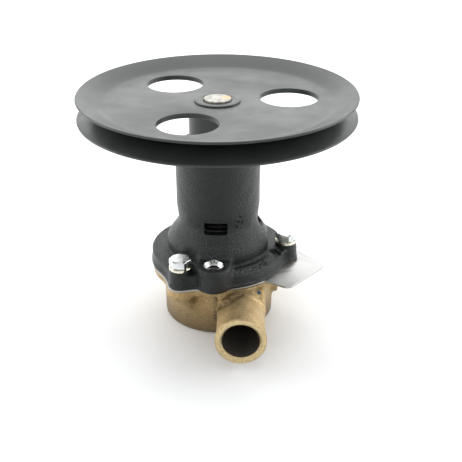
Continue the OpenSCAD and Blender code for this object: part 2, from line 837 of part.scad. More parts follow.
module housing_snap_ring() {
    band = 1.6;
    grip_r = 2.2;
    grip_hole_r = 0.9;
    grip_az = 22;
    grip_at = bearing_r - band - past;
    z = stack_top_z + ring_play;
    color(steel) difference() {
        union() {
            snap_ring(bearing_r - band, snap_groove_r - 2 * ring_play, z, inner_ring_t, outer_opening);
            for (side = [-1, 1]) rotate(side * grip_az) translate([grip_at, 0, z])
                cylinder(r = grip_r, h = inner_ring_t);
        }
        for (side = [-1, 1]) rotate(side * grip_az) translate([grip_at, 0, z - past])
            cylinder(r = grip_hole_r, h = inner_ring_t + 2 * past);
    }
}

// One ring under the lower inner race and one on the upper one
module shaft_snap_rings() {
    color(steel) for (z = [lower_seat_z - ring_t - ring_play, stack_top_z + ring_play])
        snap_ring(ring_groove_r + fit_gap, pitch_r - race_land - overlap, z, ring_t, inner_opening);
}

module shaft() {
    chamfer = 0.8;
    color(steel) difference() {
        union() {
            translate([0, 0, shaft_low_z]) cylinder(r1 = tail_r - chamfer, r2 = tail_r, h = chamfer);
            translate([0, 0, shaft_low_z + chamfer]) cylinder(r = tail_r, h = shaft_step_z - shaft_low_z);
            translate([0, 0, shaft_step_z]) cylinder(r = bearing_bore_r, h = head_low_z - shaft_step_z);
            translate([0, 0, head_low_z]) cylinder(r = head_r, h = shaft_top_z - head_low_z);
        }
        for (z = [lower_seat_z - ring_slot, stack_top_z])
            ring(ring_groove_r, head_r + past, z, z + ring_slot);
        key_form(fit_gap);
    }
}

module pulley_hub() {
    edge = 0.6;
    color(pulley_black) rotate_extrude() polygon([[head_r + fit_gap, hub_z], [hub_r - edge, hub_z],
        [hub_r, hub_z + edge], [hub_r, lower_web_z - weld_w], [hub_r + weld_w, lower_web_z],
        [collar_r, lower_web_z], [collar_r, collar_z - edge / 2], [collar_r - edge / 2, collar_z],
        [head_r + fit_gap, collar_z]]);
}

// One stamped disc, its web's joint face at height 0 and its outer band rising
module stamped_disc() {
    bend_at = web_r - bend_r * tan(cone_angle / 2);
    bend_centre = [bend_at, sheet_t + bend_r];
    mid_r = bend_r + sheet_t / 2;
    run = (rim_r - sheet_t / 2 - bend_at - mid_r * sin(cone_angle)) / cos(cone_angle);
    lip = bend_centre + mid_r * [sin(cone_angle), -cos(cone_angle)]
        + run * [cos(cone_angle), sin(cone_angle)];
    steps = 6;
    difference() {
        rotate_extrude() polygon(concat(
            [[collar_r + fit_gap, 0]],
            arc(bend_centre, bend_r + sheet_t, -90, cone_angle - 90, steps),
            arc(lip, sheet_t / 2, cone_angle - 90, cone_angle + 90, steps),
            arc(bend_centre, bend_r, cone_angle - 90, -90, steps),
            [[collar_r + fit_gap, sheet_t]]));
        for (k = [0:2]) rotate(hole_az + k * 120) translate([hole_at, 0, -past])
            cylinder(r = hole_r, h = sheet_t + 2 * past);
    }
}

module pulley_upper_disc() {
    color(pulley_black) translate([0, 0, disc_joint_z]) stamped_disc();
}

module pulley_lower_disc() {
    color(pulley_black) translate([0, 0, disc_joint_z]) mirror([0, 0, 1]) stamped_disc();
}

module body_bolts() {
    tip_z = body_h - bolt_bite;
    corner_r = bolt_af / sqrt(3);
    // The cone that turns the corners off meets the flats just inside the head's top
    turned_in = 0.4;
    face_r = bolt_af / 2 - turned_in;
    color(zinc) for (k = [0:2]) rotate(bolt_azimuths[k]) translate([bolt_circle_r, 0, 0]) {
        translate([0, 0, tip_z]) cylinder(r = bolt_r - fit_gap, h = bolt_head_z - tip_z + overlap);
        translate([0, 0, bolt_head_z]) intersection() {
            rotate(head_turns[k]) cylinder(r = corner_r, h = bolt_head_h, $fn = 6);
            cylinder(r1 = face_r + 2 * bolt_head_h, r2 = face_r, h = bolt_head_h);
        }
    }
}

module lock_washers() {
    split_az = 60;
    split_lean = 25;
    color(zinc) at_bolts() translate([0, 0, bolt_seat_z]) difference() {
        ring(bolt_r + hole_gap, washer_r, 0, washer_t);
        rotate([split_lean, 0, split_az]) translate([0, -washer_split / 2, -washer_t])
            cube([2 * washer_r, washer_split, 4 * washer_t]);
    }
}

pump_body();
cam();
cam_screw();
impeller();
impeller_hub();
impeller_key();
body_gasket();
wear_plate();
housing_gasket();
bearing_housing();
water_seal();
slinger();
oil_seal();
lower_bearing_outer_race();
lower_bearing_inner_race();
lower_bearing_balls();
lower_bearing_cage();
lower_bearing_shields();
bearing_spacer();
upper_bearing_outer_race();
upper_bearing_inner_race();
upper_bearing_balls();
upper_bearing_cage();
upper_bearing_shields();
housing_snap_ring();
shaft_snap_rings();
shaft();
pulley_hub();
pulley_lower_disc();
pulley_upper_disc();
body_bolts();
lock_washers();
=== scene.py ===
"""Belt driven flexible impeller pump: castings, stamped pulley, bolts, plate and inner parts."""
import math

import bpy
import numpy as np
from mathutils import Matrix, Vector


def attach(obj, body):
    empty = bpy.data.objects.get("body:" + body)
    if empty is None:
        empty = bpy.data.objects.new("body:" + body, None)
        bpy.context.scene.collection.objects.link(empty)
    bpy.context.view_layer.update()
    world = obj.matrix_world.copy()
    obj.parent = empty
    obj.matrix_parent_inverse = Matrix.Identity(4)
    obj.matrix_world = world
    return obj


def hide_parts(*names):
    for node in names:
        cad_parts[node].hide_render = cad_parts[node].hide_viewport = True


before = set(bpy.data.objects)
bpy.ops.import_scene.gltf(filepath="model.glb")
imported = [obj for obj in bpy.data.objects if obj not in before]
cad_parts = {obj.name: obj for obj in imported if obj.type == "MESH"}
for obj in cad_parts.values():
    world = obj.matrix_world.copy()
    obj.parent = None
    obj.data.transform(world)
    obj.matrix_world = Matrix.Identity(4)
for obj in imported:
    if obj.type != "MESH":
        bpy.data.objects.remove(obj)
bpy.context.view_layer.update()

# Named lengths are in millimetres, in the frame of the CAD model, and named angles in degrees
MM = 0.001

# Bolts, and the ears and lugs that they go through
BOLT_CIRCLE = 46.0
BOLT_AZIMUTHS = (-0.7, -120.7, 119.3)
NECK_RADII = (6.0, 40.0, 6.0)
EAR_R = 7.9
BOLT_R = 3.98
BOLT_LENGTH = 23.5
BODY_HOLE_R = 4.02
HOUSING_HOLE_R = 4.3
HEAD_TURNS = (45.0, 56.0, 20.0)
HEAD_FLATS = 12.7
HEAD_HEIGHT = 5.5
SPOT_FACE_R = 7.8
WASHER_T = 2.0

# Bronze body
BODY_TOP = 37.4
CUP_R = 37.1
CHAMBER_R = 32.5
FLOOR_T = 6.0
FLANGE_R = 45.0
FLANGE_T = 4.4
PORT_X = 16.0
PORT_Z = 21.8
PORT_R = 15.5
PORT_END = 79.7
BEAD_R = 16.3
BEAD_W = 3.0
WATERWAY_R = 12.0
WATERWAY_IN = 35.7
PASSAGE_R = 11.4
BLOCK_REACH = 47.0
CAM_Z = 21.7
CAM_BOSS_R = 9.0
CAM_BOSS_REACH = 40.9
CAM_SCREW_R = 2.5
CAM_SCREW_TIP = 29.2
CAM_HEAD_R = 4.5
BRONZE_CELL = 0.62
# The rough hollow between each tube and the left side of its block follows these points
HOLLOW_POINTS = ((0.7, 49.5, 29.4), (7.4, 55.4, 36.6), (14.8, 48.9, 39.0))
# Ends of the corner beside that hollow, and of the line under the front left ear, where shade is painted on
# the bronze
SHADED_CORNER = ((0.2, 37.0, 35.0), (0.2, 36.5, 12.0))
SHADED_EAR = ((-16.0, -36.0, 32.4), (-3.0, -39.0, 32.4))
# A green speck beside the front port
SPECK_AT = (27.3, -42.2, 35.0)

# Iron bearing housing
HOUSING_Z = 39.2
HOUSING_TOP = 121.6
HOUSING_FLANGE_R = 45.2
HOUSING_FLANGE_H = 9.4
LUG_R = 7.4
LUG_H = 11.8
LUG_TOP = HOUSING_Z + LUG_H
BELL_R = 34.5
BELL_FOOT_R = 33.0
BELL_H = 15.6
WAIST_R = 26.7
WAIST_H = 31.8
TUBE_R = 27.7
SCALLOP_R = 13.4
BOSS_AZIMUTHS = (-92.5, 87.5)
BOSS_AT = 42.4
BOSS_R = 11.2
BOSS_H = 15.8
THREAD_R = 4.0
MOUTH_R = 6.2
THREAD_DEPTH = 13.0
IRON_CELL = 0.66
# Weep windows: (width, height, height of the middle, azimuth)
WINDOWS = ((15.2, 8.4, 72.9, -92.0), (10.0, 6.8, 67.1, 2.0))
# Small open pits on the front right of the tube, all at one radius: (azimuth, height, reach)
PITTED_R = 27.1
TUBE_PITS = ((-57.0, 80.3, 1.0), (-59.8, 76.7, 0.85), (-52.6, 75.9, 0.9), (-62.1, 73.3, 1.0),
             (-54.8, 74.6, 0.75))

# Inside the housing
WATER_SEAL_R = 14.0
DRAIN_R = 20.5
DRAIN_FLOOR = 51.2
DRAIN_TOP = 77.5
OIL_SEAL_R = 15.0
SEAL_WEB = 2.0
WEB_HOLE_R = 11.0
BEARING_R = 20.0
BEARING_W = 12.0
LOWER_SEAT = 86.5
UPPER_SEAT = 106.1
STACK_TOP = UPPER_SEAT + BEARING_W
SNAP_GROOVE_R = 21.3
SEAT_PLAY = 0.02
BALL_R = 3.3
BALL_COUNT = 8
BALL_CIRCLE = 14.25

# Pulley and hub
RIM_R = 89.0
SHEET = 1.6
WEB_R = 73.7
FLAT_R = 66.2
CONE_FROM = 80.0
BEND = 1.15
CONE = 22.5
HOLE_R = 18.8
HOLE_AT = 46.15
HOLE_AZ = 9.5
DISC_JOINT = 149.0
SHEET_EDGE = 0.78
HUB_R = 18.5
HUB_LOW = 123.6
WELD_R = 1.5
COLLAR_R = 14.7
COLLAR_TOP = 151.6

# Shaft
SHAFT_LOW = 7.5
SHAFT_TOP = 152.4
TAIL_R = 8.0
SEAT_R = 8.5
GROOVE_R = 8.1
GROOVE_W = 1.3
HEAD_R = 8.9
TEETH_FROM = 145.2
TEETH = 40
RUST_AT = (5.6, 1.5, SHAFT_TOP)
# The keyway's box: (low, high) along X, Y and Z
KEYWAY = ((6.38, 9.5), (-1.52, 1.52), (9.68, 33.72))


# Forms as distance fields: below zero inside, above zero outside

def smooth_step(t):
    t = np.clip(t, 0, 1)
    return t * t * (3 - 2 * t)


def turned(x, y, degrees):
    """Coordinates along and across a direction in plan."""
    c, s = math.cos(math.radians(degrees)), math.sin(math.radians(degrees))
    return x * c + y * s, y * c - x * s


def slab(z, low, high):
    return np.abs(z - (low + high) / 2) - (high - low) / 2


def rounded(a, b, r):
    """What is inside both a and b, with the edge between them rounded to radius r."""
    a, b = a + r, b + r
    return np.minimum(np.maximum(a, b), 0) + np.hypot(np.maximum(a, 0), np.maximum(b, 0)) - r


def blended(a, b, r):
    """a and b joined, with the corner between them filled to radius r."""
    return -rounded(-a, -b, r)


def carved(a, b, r):
    """a without b, with the edge of the hollow rounded to radius r."""
    return rounded(a, -b, r)


def ears(x, y, base_r, end_r):
    """Plan of a round flange with its three bolt ears and their hollow necks."""
    plan = np.hypot(x, y) - base_r
    for azimuth, neck_r in zip(BOLT_AZIMUTHS, NECK_RADII):
        u, v = turned(x, y, azimuth)
        v = np.abs(v)
        from_axis, from_ear = base_r + neck_r, end_r + neck_r
        a = math.acos((from_axis ** 2 + BOLT_CIRCLE ** 2 - from_ear ** 2) / (2 * from_axis * BOLT_CIRCLE))
        neck_u, neck_v = from_axis * math.cos(a), from_axis * math.sin(a)
        below_first = (v * neck_u - u * neck_v) / from_axis
        below_second = ((u - BOLT_CIRCLE) * neck_v + v * (BOLT_CIRCLE - neck_u)) / from_ear
        neck = neck_r - np.hypot(u - neck_u, v - neck_v)
        web = np.maximum(np.maximum(below_first, below_second), neck)
        plan = np.minimum(plan, np.minimum(web, np.hypot(u - BOLT_CIRCLE, v) - end_r))
    return plan


def capsule(x, y, z, a, b):
    """Distance from the straight line between points a and b."""
    a, b = np.array(a, float), np.array(b, float)
    along = b - a
    dx, dy, dz = x - a[0], y - a[1], z - a[2]
    t = np.clip((dx * along[0] + dy * along[1] + dz * along[2]) / (along @ along), 0, 1)
    return np.sqrt((dx - t * along[0]) ** 2 + (dy - t * along[1]) ** 2 + (dz - t * along[2]) ** 2)


def waves(x, y, z, size, height):
    """Slow unevenness of a sand casting."""
    k = 2 * math.pi / size
    broad = np.sin(k * (x + 0.6 * y)) * np.cos(k * (0.8 * z - y))
    narrow = np.sin(k * 1.7 * (z + 0.4 * x - y)) / 2
    return height * (broad + narrow)


def hollow_line(x, y, z):
    """Distance from the line of the rough hollow over each port."""
    foot, middle, head = HOLLOW_POINTS
    return np.minimum(capsule(x, np.abs(y), z, foot, middle), capsule(x, np.abs(y), z, middle, head))


def bronze_painted_shade(x, y, z):
    """Where shade is painted on the bronze: in the hollow, in the corner beside it and under the front left
    ear.
    """
    d = np.minimum(hollow_line(x, y, z) - 2.0, capsule(x, np.abs(y), z, *SHADED_CORNER) - 0.8)
    d = np.minimum(d, capsule(x, y, z, *SHADED_EAR) - 0.8)
    return np.clip(1 - d / 2.6, 0, 1)


def skin_and_shade_band(x, y, z):
    """The band along the front right of the housing's flange, with broken skin and painted shade."""
    h, rho, az = z - HOUSING_Z, np.hypot(x, y), np.degrees(np.arctan2(y, x))
    band = np.maximum(np.abs(rho - 41.2) - 2.3, np.abs(h - HOUSING_FLANGE_H) - 1.4)
    d = np.maximum(band, np.maximum(-76 - az, az + 41) * 0.7)
    return np.clip(0.5 - d / 1.6, 0, 1)


def bolt_gussets(x, y, z, form):
    """Adds the gusset under each bolt ear of the body, which grows outwards as it rises."""
    for azimuth in BOLT_AZIMUTHS:
        u, v = turned(x, y, azimuth)
        t = np.clip((z - 14) / 16.8, 0, 1)
        reach, width = 31.1 + 14.9 * t, 5 + 2.4 * t
        along = np.maximum(np.maximum(u - reach, 31.1 - u), 0)
        gusset = rounded((np.hypot(along, v) - width) * 0.72, slab(z, 12.5, 35), 1.0)
        form = blended(form, gusset, 4.0)
    return form


def port_tubes(x, y, z):
    """Both hose tubes with their beads, the block over each, its end ridge and its rough hollow."""
    px, pz = x - PORT_X, z - PORT_Z
    rp = np.hypot(px, pz)
    end = np.maximum(np.abs(y) - BLOCK_REACH, ((np.abs(y) - 43.5) + (z - 33.9)) * 0.707)
    block = rounded(rounded(slab(px, -PORT_R, PORT_R), slab(z, PORT_Z, 36.9), 3.2), end, 2.6)
    tubes = rounded(rp - PORT_R, slab(y, -PORT_END, PORT_END), 0.4)
    bead = rounded(rp - BEAD_R, slab(np.abs(y), PORT_END - BEAD_W, PORT_END), 0.9)
    tubes = blended(tubes, bead, 1.0)
    tubes = blended(tubes, block, 2.4)
    angle = np.degrees(np.arctan2(px, pz))
    fade = smooth_step(angle / 25) * smooth_step((100 - angle) / 30)
    ridge = np.hypot(rp - PORT_R + 0.2, np.abs(y) - 48.6) - 1.35 * fade
    tubes = blended(tubes, ridge, 1.4)
    return carved(tubes, hollow_line(x, y, z) - 2.6 - waves(x, y, z, 9.0, 0.2), 1.6)


def bronze_field(x, y, z):
    """The pump body as it left the sand, before it was machined."""
    cup = rounded(np.hypot(x, y) - CUP_R, slab(z, 0, BODY_TOP + 2), 1.4)
    flange = rounded(ears(x, y, FLANGE_R - 0.1, EAR_R), slab(z, BODY_TOP - FLANGE_T, BODY_TOP + 4), 0.8)
    form = bolt_gussets(x, y, z, blended(cup, flange, 2.2))
    form = blended(form, port_tubes(x, y, z), 2.6)
    boss = rounded(np.hypot(y, z - CAM_Z) - CAM_BOSS_R, slab(x, 20, CAM_BOSS_REACH), 1.3)
    form = blended(form, boss, 2.0)
    return form + waves(x, y, z, 23, 0.06) * smooth_step((z - 1) / 3)


def tower_r(h):
    """Radius of the bell, waist and tube at height h above the housing's face."""
    q = np.clip((BELL_H - h) / 6.2, 0, 1)
    return (BELL_R - (BELL_R - BELL_FOOT_R) * (1 - np.sqrt(1 - q * q))
            - (BELL_R - WAIST_R) * smooth_step((h - BELL_H) / (WAIST_H - BELL_H))
            + (TUBE_R - WAIST_R) * smooth_step((h - WAIST_H) / 12))


def flange_hollows(x, y, h, form):
    """Cuts the shallow trough along the front right of the flange, and the pocket beside the first bolt."""
    rho, az = np.hypot(x, y), np.degrees(np.arctan2(y, x))
    trough = rounded(slab(rho, 38.6, 43.4), slab(h, HOUSING_FLANGE_H - 0.75, HOUSING_FLANGE_H + 5), 0.5)
    trough = rounded(trough, np.maximum(-75 - az, az + 40) * 0.6, 1.5)
    form = carved(form, trough, 0.5)
    u, v = turned(x - 38.6, y + 11.6, -62)
    depth = slab(h, HOUSING_FLANGE_H - 1.7, HOUSING_FLANGE_H + 9)
    pocket = rounded(rounded(slab(u, -4.2, 4.2), slab(v, -2.0, 2.0), 1.0), depth, 0.8)
    return carved(form, pocket, 1.5)


def iron_field(x, y, z):
    """The bearing housing as it left the sand."""
    h = z - HOUSING_Z
    flange = rounded(ears(x, y, HOUSING_FLANGE_R, LUG_R), slab(h, -1, HOUSING_FLANGE_H), 1.2)
    rim = rounded(ears(x, y, HOUSING_FLANGE_R + 0.6, LUG_R + 0.6), slab(h, -1, 2.0), 0.5)
    form = flange_hollows(x, y, h, blended(flange, rim, 0.5))
    tower = rounded((np.hypot(x, y) - tower_r(h)) * 0.88, slab(h, 1, HOUSING_TOP - HOUSING_Z), 0.9)
    for azimuth in BOLT_AZIMUTHS:
        u, v = turned(x, y, azimuth)
        from_bolt = np.hypot(u - BOLT_CIRCLE, v)
        lug = rounded(from_bolt - (LUG_R - 0.3), slab(h, 0, LUG_H + 1), 1.0)
        form = blended(form, lug, 0.8)
        tower = carved(tower, np.maximum(from_bolt - SCALLOP_R, HOUSING_FLANGE_H - 0.5 - h), 1.0)
    form = blended(form, tower, 2.2)
    for azimuth in BOSS_AZIMUTHS:
        u, v = turned(x, y, azimuth)
        boss = rounded(np.hypot(u - BOSS_AT, v) - BOSS_R, slab(h, 0, BOSS_H), 2.0)
        pad = rounded(rounded(slab(u, 22, BOSS_AT), slab(v, -BOSS_R, BOSS_R), 0.5), slab(h, 0, BOSS_H), 2.0)
        form = blended(form, np.minimum(boss, pad), 2.6)
    return form + waves(x, y, z, 19, 0.05)


def slope(field, p, step=0.08):
    """Gradient of a field at points p."""
    g = np.empty_like(p)
    for axis in range(3):
        a, b = p.copy(), p.copy()
        a[:, axis] += step
        b[:, axis] -= step
        g[:, axis] = (field(*a.T) - field(*b.T)) / (2 * step)
    return g


def cell_points(d, cells, corners):
    """For each grid cell that the surface crosses, the mean of the crossings on its edges, in cells."""
    values = {c: d[tuple((cells + c).T)] for c in corners}
    total, hits = np.zeros((len(cells), 3)), np.zeros(len(cells))
    for axis in range(3):
        for c in corners:
            if c[axis]:
                continue
            e = tuple(1 if n == axis else c[n] for n in range(3))
            a, b = values[c], values[e]
            crossing = (a < 0) != (b < 0)
            t = np.where(crossing, a / np.where(crossing, a - b, 1), 0)
            point = np.array(c, float) + np.outer(t, np.eye(3)[axis])
            total += point * crossing[:, None]
            hits += crossing
    return cells + total / hits[:, None]


def edge_quads(inside, number):
    """A quad round each grid edge that the surface crosses, through the points of its four cells."""
    shape = inside.shape
    faces = []
    for axis in range(3):
        one, two = [n for n in range(3) if n != axis]
        head = [slice(1, s - 1) for s in shape]
        head[axis] = slice(0, shape[axis] - 1)
        tail = list(head)
        tail[axis] = slice(1, shape[axis])
        starts, ends = inside[tuple(head)], inside[tuple(tail)]
        for entering in (True, False):
            at = np.argwhere((starts != ends) & (starts == entering))
            at += np.array([h.start for h in head])
            ring = []
            for a, b in ((-1, -1), (0, -1), (0, 0), (-1, 0)):
                q = at.copy()
                q[:, one] += a
                q[:, two] += b
                ring.append(number[tuple(q.T)])
            quad = np.stack(ring, 1)
            faces.append(quad if entering != (axis == 1) else quad[:, ::-1])
    return np.concatenate(faces)


def net(field, low, high, cell):
    """Closed mesh of quads on the surface where the field is zero, between the corners low and high."""
    axes = [np.arange(a - 2 * cell, b + 3 * cell, cell) for a, b in zip(low, high)]
    shape = tuple(len(a) for a in axes)
    d = np.empty(shape, np.float32)
    for start in range(0, shape[0], 16):
        d[start:start + 16] = field(*np.meshgrid(axes[0][start:start + 16], axes[1], axes[2], indexing="ij"))
    inside = d < 0
    corners = [(i, j, k) for i in (0, 1) for j in (0, 1) for k in (0, 1)]
    count = sum(inside[i:shape[0] - 1 + i, j:shape[1] - 1 + j, k:shape[2] - 1 + k].astype(np.int8)
                for i, j, k in corners)
    cells = np.argwhere((count > 0) & (count < 8))
    number = -np.ones(tuple(s - 1 for s in shape), np.int64)
    number[tuple(cells.T)] = np.arange(len(cells))
    points = cell_points(d, cells, corners) * cell + np.array([a[0] for a in axes])
    # Two steps down the slope bring each point onto the surface
    for _ in range(2):
        g = slope(field, points)
        move = g * (field(*points.T) / np.maximum((g * g).sum(1), 0.3))[:, None]
        points -= move * np.minimum(1, 0.4 * cell / np.maximum(np.linalg.norm(move, axis=1), 1e-9))[:, None]
    return points, edge_quads(inside, number)


# Meshes and pieces

def build_mesh(name, points, faces):
    """A mesh from points in millimetres."""
    mesh = bpy.data.meshes.new(name)
    points = np.asarray(points, float) * MM
    if isinstance(faces, np.ndarray):
        mesh.vertices.add(len(points))
        mesh.vertices.foreach_set("co", points.ravel())
        mesh.loops.add(faces.size)
        mesh.loops.foreach_set("vertex_index", faces.ravel().astype(np.int32))
        mesh.polygons.add(len(faces))
        mesh.polygons.foreach_set("loop_start", np.arange(0, faces.size, faces.shape[1], dtype=np.int32))
        mesh.update(calc_edges=True)
    else:
        mesh.from_pydata(points.tolist(), [], faces)
    mesh.validate()
    return mesh


def put(name, mesh):
    """Links a mesh into the scene as an object at the origin."""
    piece = bpy.data.objects.new(name, mesh)
    bpy.context.scene.collection.objects.link(piece)
    return piece


def lathe(profile, steps, wobble=None):
    """A solid turned round Z from (radius, height) points.

    A closed profile makes a ring, and one whose ends lie on the axis makes a solid.
    wobble(angle, radius, height) may shift a point by (radius, height)."""
    solid = profile[0][0] == 0 and profile[-1][0] == 0
    body = profile[1:-1] if solid else profile
    angles = [2 * math.pi * k / steps for k in range(steps)]
    points = []
    for r, z in body:
        for a in angles:
            dr, dz = wobble(a, r, z) if wobble else (0, 0)
            points.append(((r + dr) * math.cos(a), (r + dr) * math.sin(a), z + dz))
    n = len(body)
    faces = []
    for i in range(n - 1 if solid else n):
        j = (i + 1) % n
        for k in range(steps):
            m = (k + 1) % steps
            faces.append((i * steps + k, i * steps + m, j * steps + m, j * steps + k))
    if solid:
        points += [(0, 0, profile[0][1]), (0, 0, profile[-1][1])]
        low, high = len(points) - 2, len(points) - 1
        for k in range(steps):
            m = (k + 1) % steps
            faces.append((low, m, k))
            faces.append((high, (n - 1) * steps + k, (n - 1) * steps + m))
    return points, faces


def cylinder(r, low, high, steps):
    return lathe([(0, low), (r, low), (r, high), (0, high)], steps)


def closed_box(xs, ys, zs):
    """A closed box between two values on each axis."""
    points = [(x, y, z) for x in xs for y in ys for z in zs]
    return points, [(0, 1, 3, 2), (4, 6, 7, 5), (0, 4, 5, 1), (2, 3, 7, 6), (0, 2, 6, 4), (1, 5, 7, 3)]


def stand(points, azimuth, axis="z", at=(0, 0, 0)):
    """Turns points made round Z to lie along +X or +Y first, then round Z by azimuth, and moves them."""
    lay = {"z": Matrix.Identity(3), "x": Matrix.Rotation(math.pi / 2, 3, "Y"),
           "y": Matrix.Rotation(-math.pi / 2, 3, "X")}[axis]
    whole = Matrix.Rotation(math.radians(azimuth), 3, "Z") @ lay
    return (np.asarray(points, float) @ np.array(whole).T) + np.array(at, float)


def stand_off(shape, distance, azimuth):
    """A shape made round Z, moved out by distance and turned to azimuth."""
    points, faces = shape
    return stand(np.array(points) + (distance, 0, 0), azimuth), faces


def baked(piece):
    """Applies a piece's modifiers, and leaves a plain mesh."""
    bpy.context.view_layer.update()
    shown = piece.evaluated_get(bpy.context.evaluated_depsgraph_get())
    mesh = bpy.data.meshes.new_from_object(shown)
    piece.modifiers.clear()
    old, piece.data = piece.data, mesh
    bpy.data.meshes.remove(old)
    return piece


def carve(piece, cutters):
    """Cuts closed cutters, each (points, faces), out of a piece."""
    tools = []
    for points, faces in cutters:
        tool = put("cutter", build_mesh("cutter", points, faces))
        cut = piece.modifiers.new("cut", "BOOLEAN")
        cut.object, cut.operation, cut.solver = tool, "DIFFERENCE", "MANIFOLD"
        tools.append(tool)
    baked(piece)
    for tool in tools:
        bpy.data.objects.remove(tool)


def finish_piece(piece, body, slot, material, *nodes, crease=34):
    """Shades a piece, gives it its material, ties it to its body and hides the nodes that it stands for."""
    mesh = piece.data
    mesh.shade_smooth()
    mesh.set_sharp_from_angle(angle=math.radians(crease))
    if not any(mesh.materials):
        mesh.materials.clear()
        mesh.materials.append(material)
    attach(piece, body)
    if nodes:
        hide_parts(*nodes)


def face_facts(mesh):
    """Centres (millimetres) and normals of a mesh's faces."""
    centres, normals = np.empty(len(mesh.polygons) * 3), np.empty(len(mesh.polygons) * 3)
    mesh.polygons.foreach_get("center", centres)
    mesh.polygons.foreach_get("normal", normals)
    return centres.reshape(-1, 3) / MM, normals.reshape(-1, 3)


def vertex_places(mesh):
    """Places of a mesh's points, in millimetres."""
    places = np.empty(len(mesh.vertices) * 3)
    mesh.vertices.foreach_get("co", places)
    return places.reshape(-1, 3) / MM


def paint(mesh, materials, number):
    """Sets the material of each face from an array of numbers."""
    mesh.materials.clear()
    for material in materials:
        mesh.materials.append(material)
    mesh.polygons.foreach_set("material_index", np.asarray(number, np.int32))
    mesh.update()


def note_relief(mesh, field, stain):
    """Keeps at each point how deep in a hollow it lies (crevice), how far out on an edge, and its stain: the
    mask where the materials paint shade, on the iron together with broken skin.
    """
    p = vertex_places(mesh)
    n = slope(field, p, 0.2)
    n /= np.maximum(np.linalg.norm(n, axis=1), 1e-6)[:, None]
    on = field(*p.T)
    crevice = np.clip((3.0 - (field(*(p + 3.0 * n).T) - on)) / 3.0, 0, 1)
    edge = np.clip((1.2 + (field(*(p - 1.2 * n).T) - on)) / 1.2, 0, 1)
    for name, value in (("crevice", crevice), ("edge", edge), ("stain", stain(*p.T))):
        mesh.attributes.new(name, "FLOAT", "POINT").data.foreach_set("value", value.astype(np.float32))


def softened(node, name, width, body, slot, material):
    """A copy of a CAD node with its sharp edges rounded by width."""
    piece = put(name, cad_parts[node].data.copy())
    piece.data.materials.clear()
    weld = piece.modifiers.new("weld", "WELD")
    weld.merge_threshold = 1e-6
    flat = piece.modifiers.new("flat", "DECIMATE")
    flat.decimate_type, flat.angle_limit = "DISSOLVE", math.radians(0.4)
    baked(piece)
    if piece.data.has_custom_normals:
        piece.data.normals_split_custom_set([(0, 0, 0)] * len(piece.data.loops))
    bevel = piece.modifiers.new("bevel", "BEVEL")
    bevel.width, bevel.segments = width * MM, 2
    bevel.limit_method, bevel.angle_limit = "ANGLE", math.radians(40)
    baked(piece)
    finish_piece(piece, body, slot, material, node)


# Node trees

FLOAT = "NodeSocketFloat"
VECTOR = "NodeSocketVector"
GEOMETRY = "NodeSocketGeometry"


def add(tree, kind, values=None, **settings):
    """Adds a node. values holds numbers, colours or sockets to link, by input name or number."""
    node = tree.nodes.new(kind)
    for key, value in settings.items():
        setattr(node, key, value)
    for key, value in (values or {}).items():
        target = node.inputs[key]
        if isinstance(value, bpy.types.NodeSocket):
            tree.links.new(value, target)
        else:
            target.default_value = value
    return node


def maths(tree, operation, *values):
    return add(tree, "ShaderNodeMath", dict(enumerate(values)), operation=operation).outputs[0]


def times(tree, a, b):
    return maths(tree, "MULTIPLY", a, b)


def plus(tree, a, b):
    return maths(tree, "ADD", a, b)


def spread(tree, value, low, high, to_low=0.0, to_high=1.0):
    """Maps value from low..high to to_low..to_high, with a soft start and end."""
    return add(tree, "ShaderNodeMapRange", {0: value, 1: low, 2: high, 3: to_low, 4: to_high},
               interpolation_type="SMOOTHSTEP").outputs[0]


def blend_colours(tree, factor, a, b):
    return add(tree, "ShaderNodeMix", {0: factor, 6: a, 7: b}, data_type="RGBA").outputs[2]


def group_tree(name, kind, takes, gives):
    """An empty node group with named inputs (name, socket type, default) and outputs (name, socket type)."""
    tree = bpy.data.node_groups.new(name, kind)
    for label, socket, value in takes:
        made = tree.interface.new_socket(label, in_out="INPUT", socket_type=socket)
        if value is not None:
            made.default_value = value
    for label, socket in gives:
        tree.interface.new_socket(label, in_out="OUTPUT", socket_type=socket)
    return tree, tree.nodes.new("NodeGroupInput").outputs, tree.nodes.new("NodeGroupOutput").inputs


def cast_grain_group():
    """Fine sand grain, with open pits, over slow unevenness. Size is that of one grain, in metres."""
    tree, takes, gives = group_tree("cast_grain", "ShaderNodeTree",
                                    [("Place", VECTOR, None), ("Size", FLOAT, 0.001)],
                                    [("Height", FLOAT), ("Pits", FLOAT), ("Patches", FLOAT)])
    place = takes["Place"]
    scale = maths(tree, "DIVIDE", 1.0, takes["Size"])
    grain = add(tree, "ShaderNodeTexNoise",
                {"Vector": place, "Scale": scale, "Detail": 3.0, "Roughness": 0.55}).outputs["Fac"]
    cells = add(tree, "ShaderNodeTexVoronoi", {"Vector": place, "Scale": scale},
                feature="SMOOTH_F1").outputs["Distance"]
    broad = add(tree, "ShaderNodeTexNoise", {"Vector": place, "Scale": times(tree, scale, 0.12),
                                             "Detail": 4.0, "Roughness": 0.6}).outputs["Fac"]
    pits = add(tree, "ShaderNodeTexVoronoi", {"Vector": place, "Scale": times(tree, scale, 0.34),
                                              "Randomness": 1.0}, feature="F1").outputs["Distance"]
    deep = times(tree, spread(tree, pits, 0.0, 0.2, 1.0, 0.0), spread(tree, broad, 0.5, 0.62))
    height = maths(tree, "SUBTRACT", plus(tree, grain, times(tree, cells, 0.5)), deep)
    tree.links.new(height, gives["Height"])
    tree.links.new(deep, gives["Pits"])
    tree.links.new(broad, gives["Patches"])
    return tree


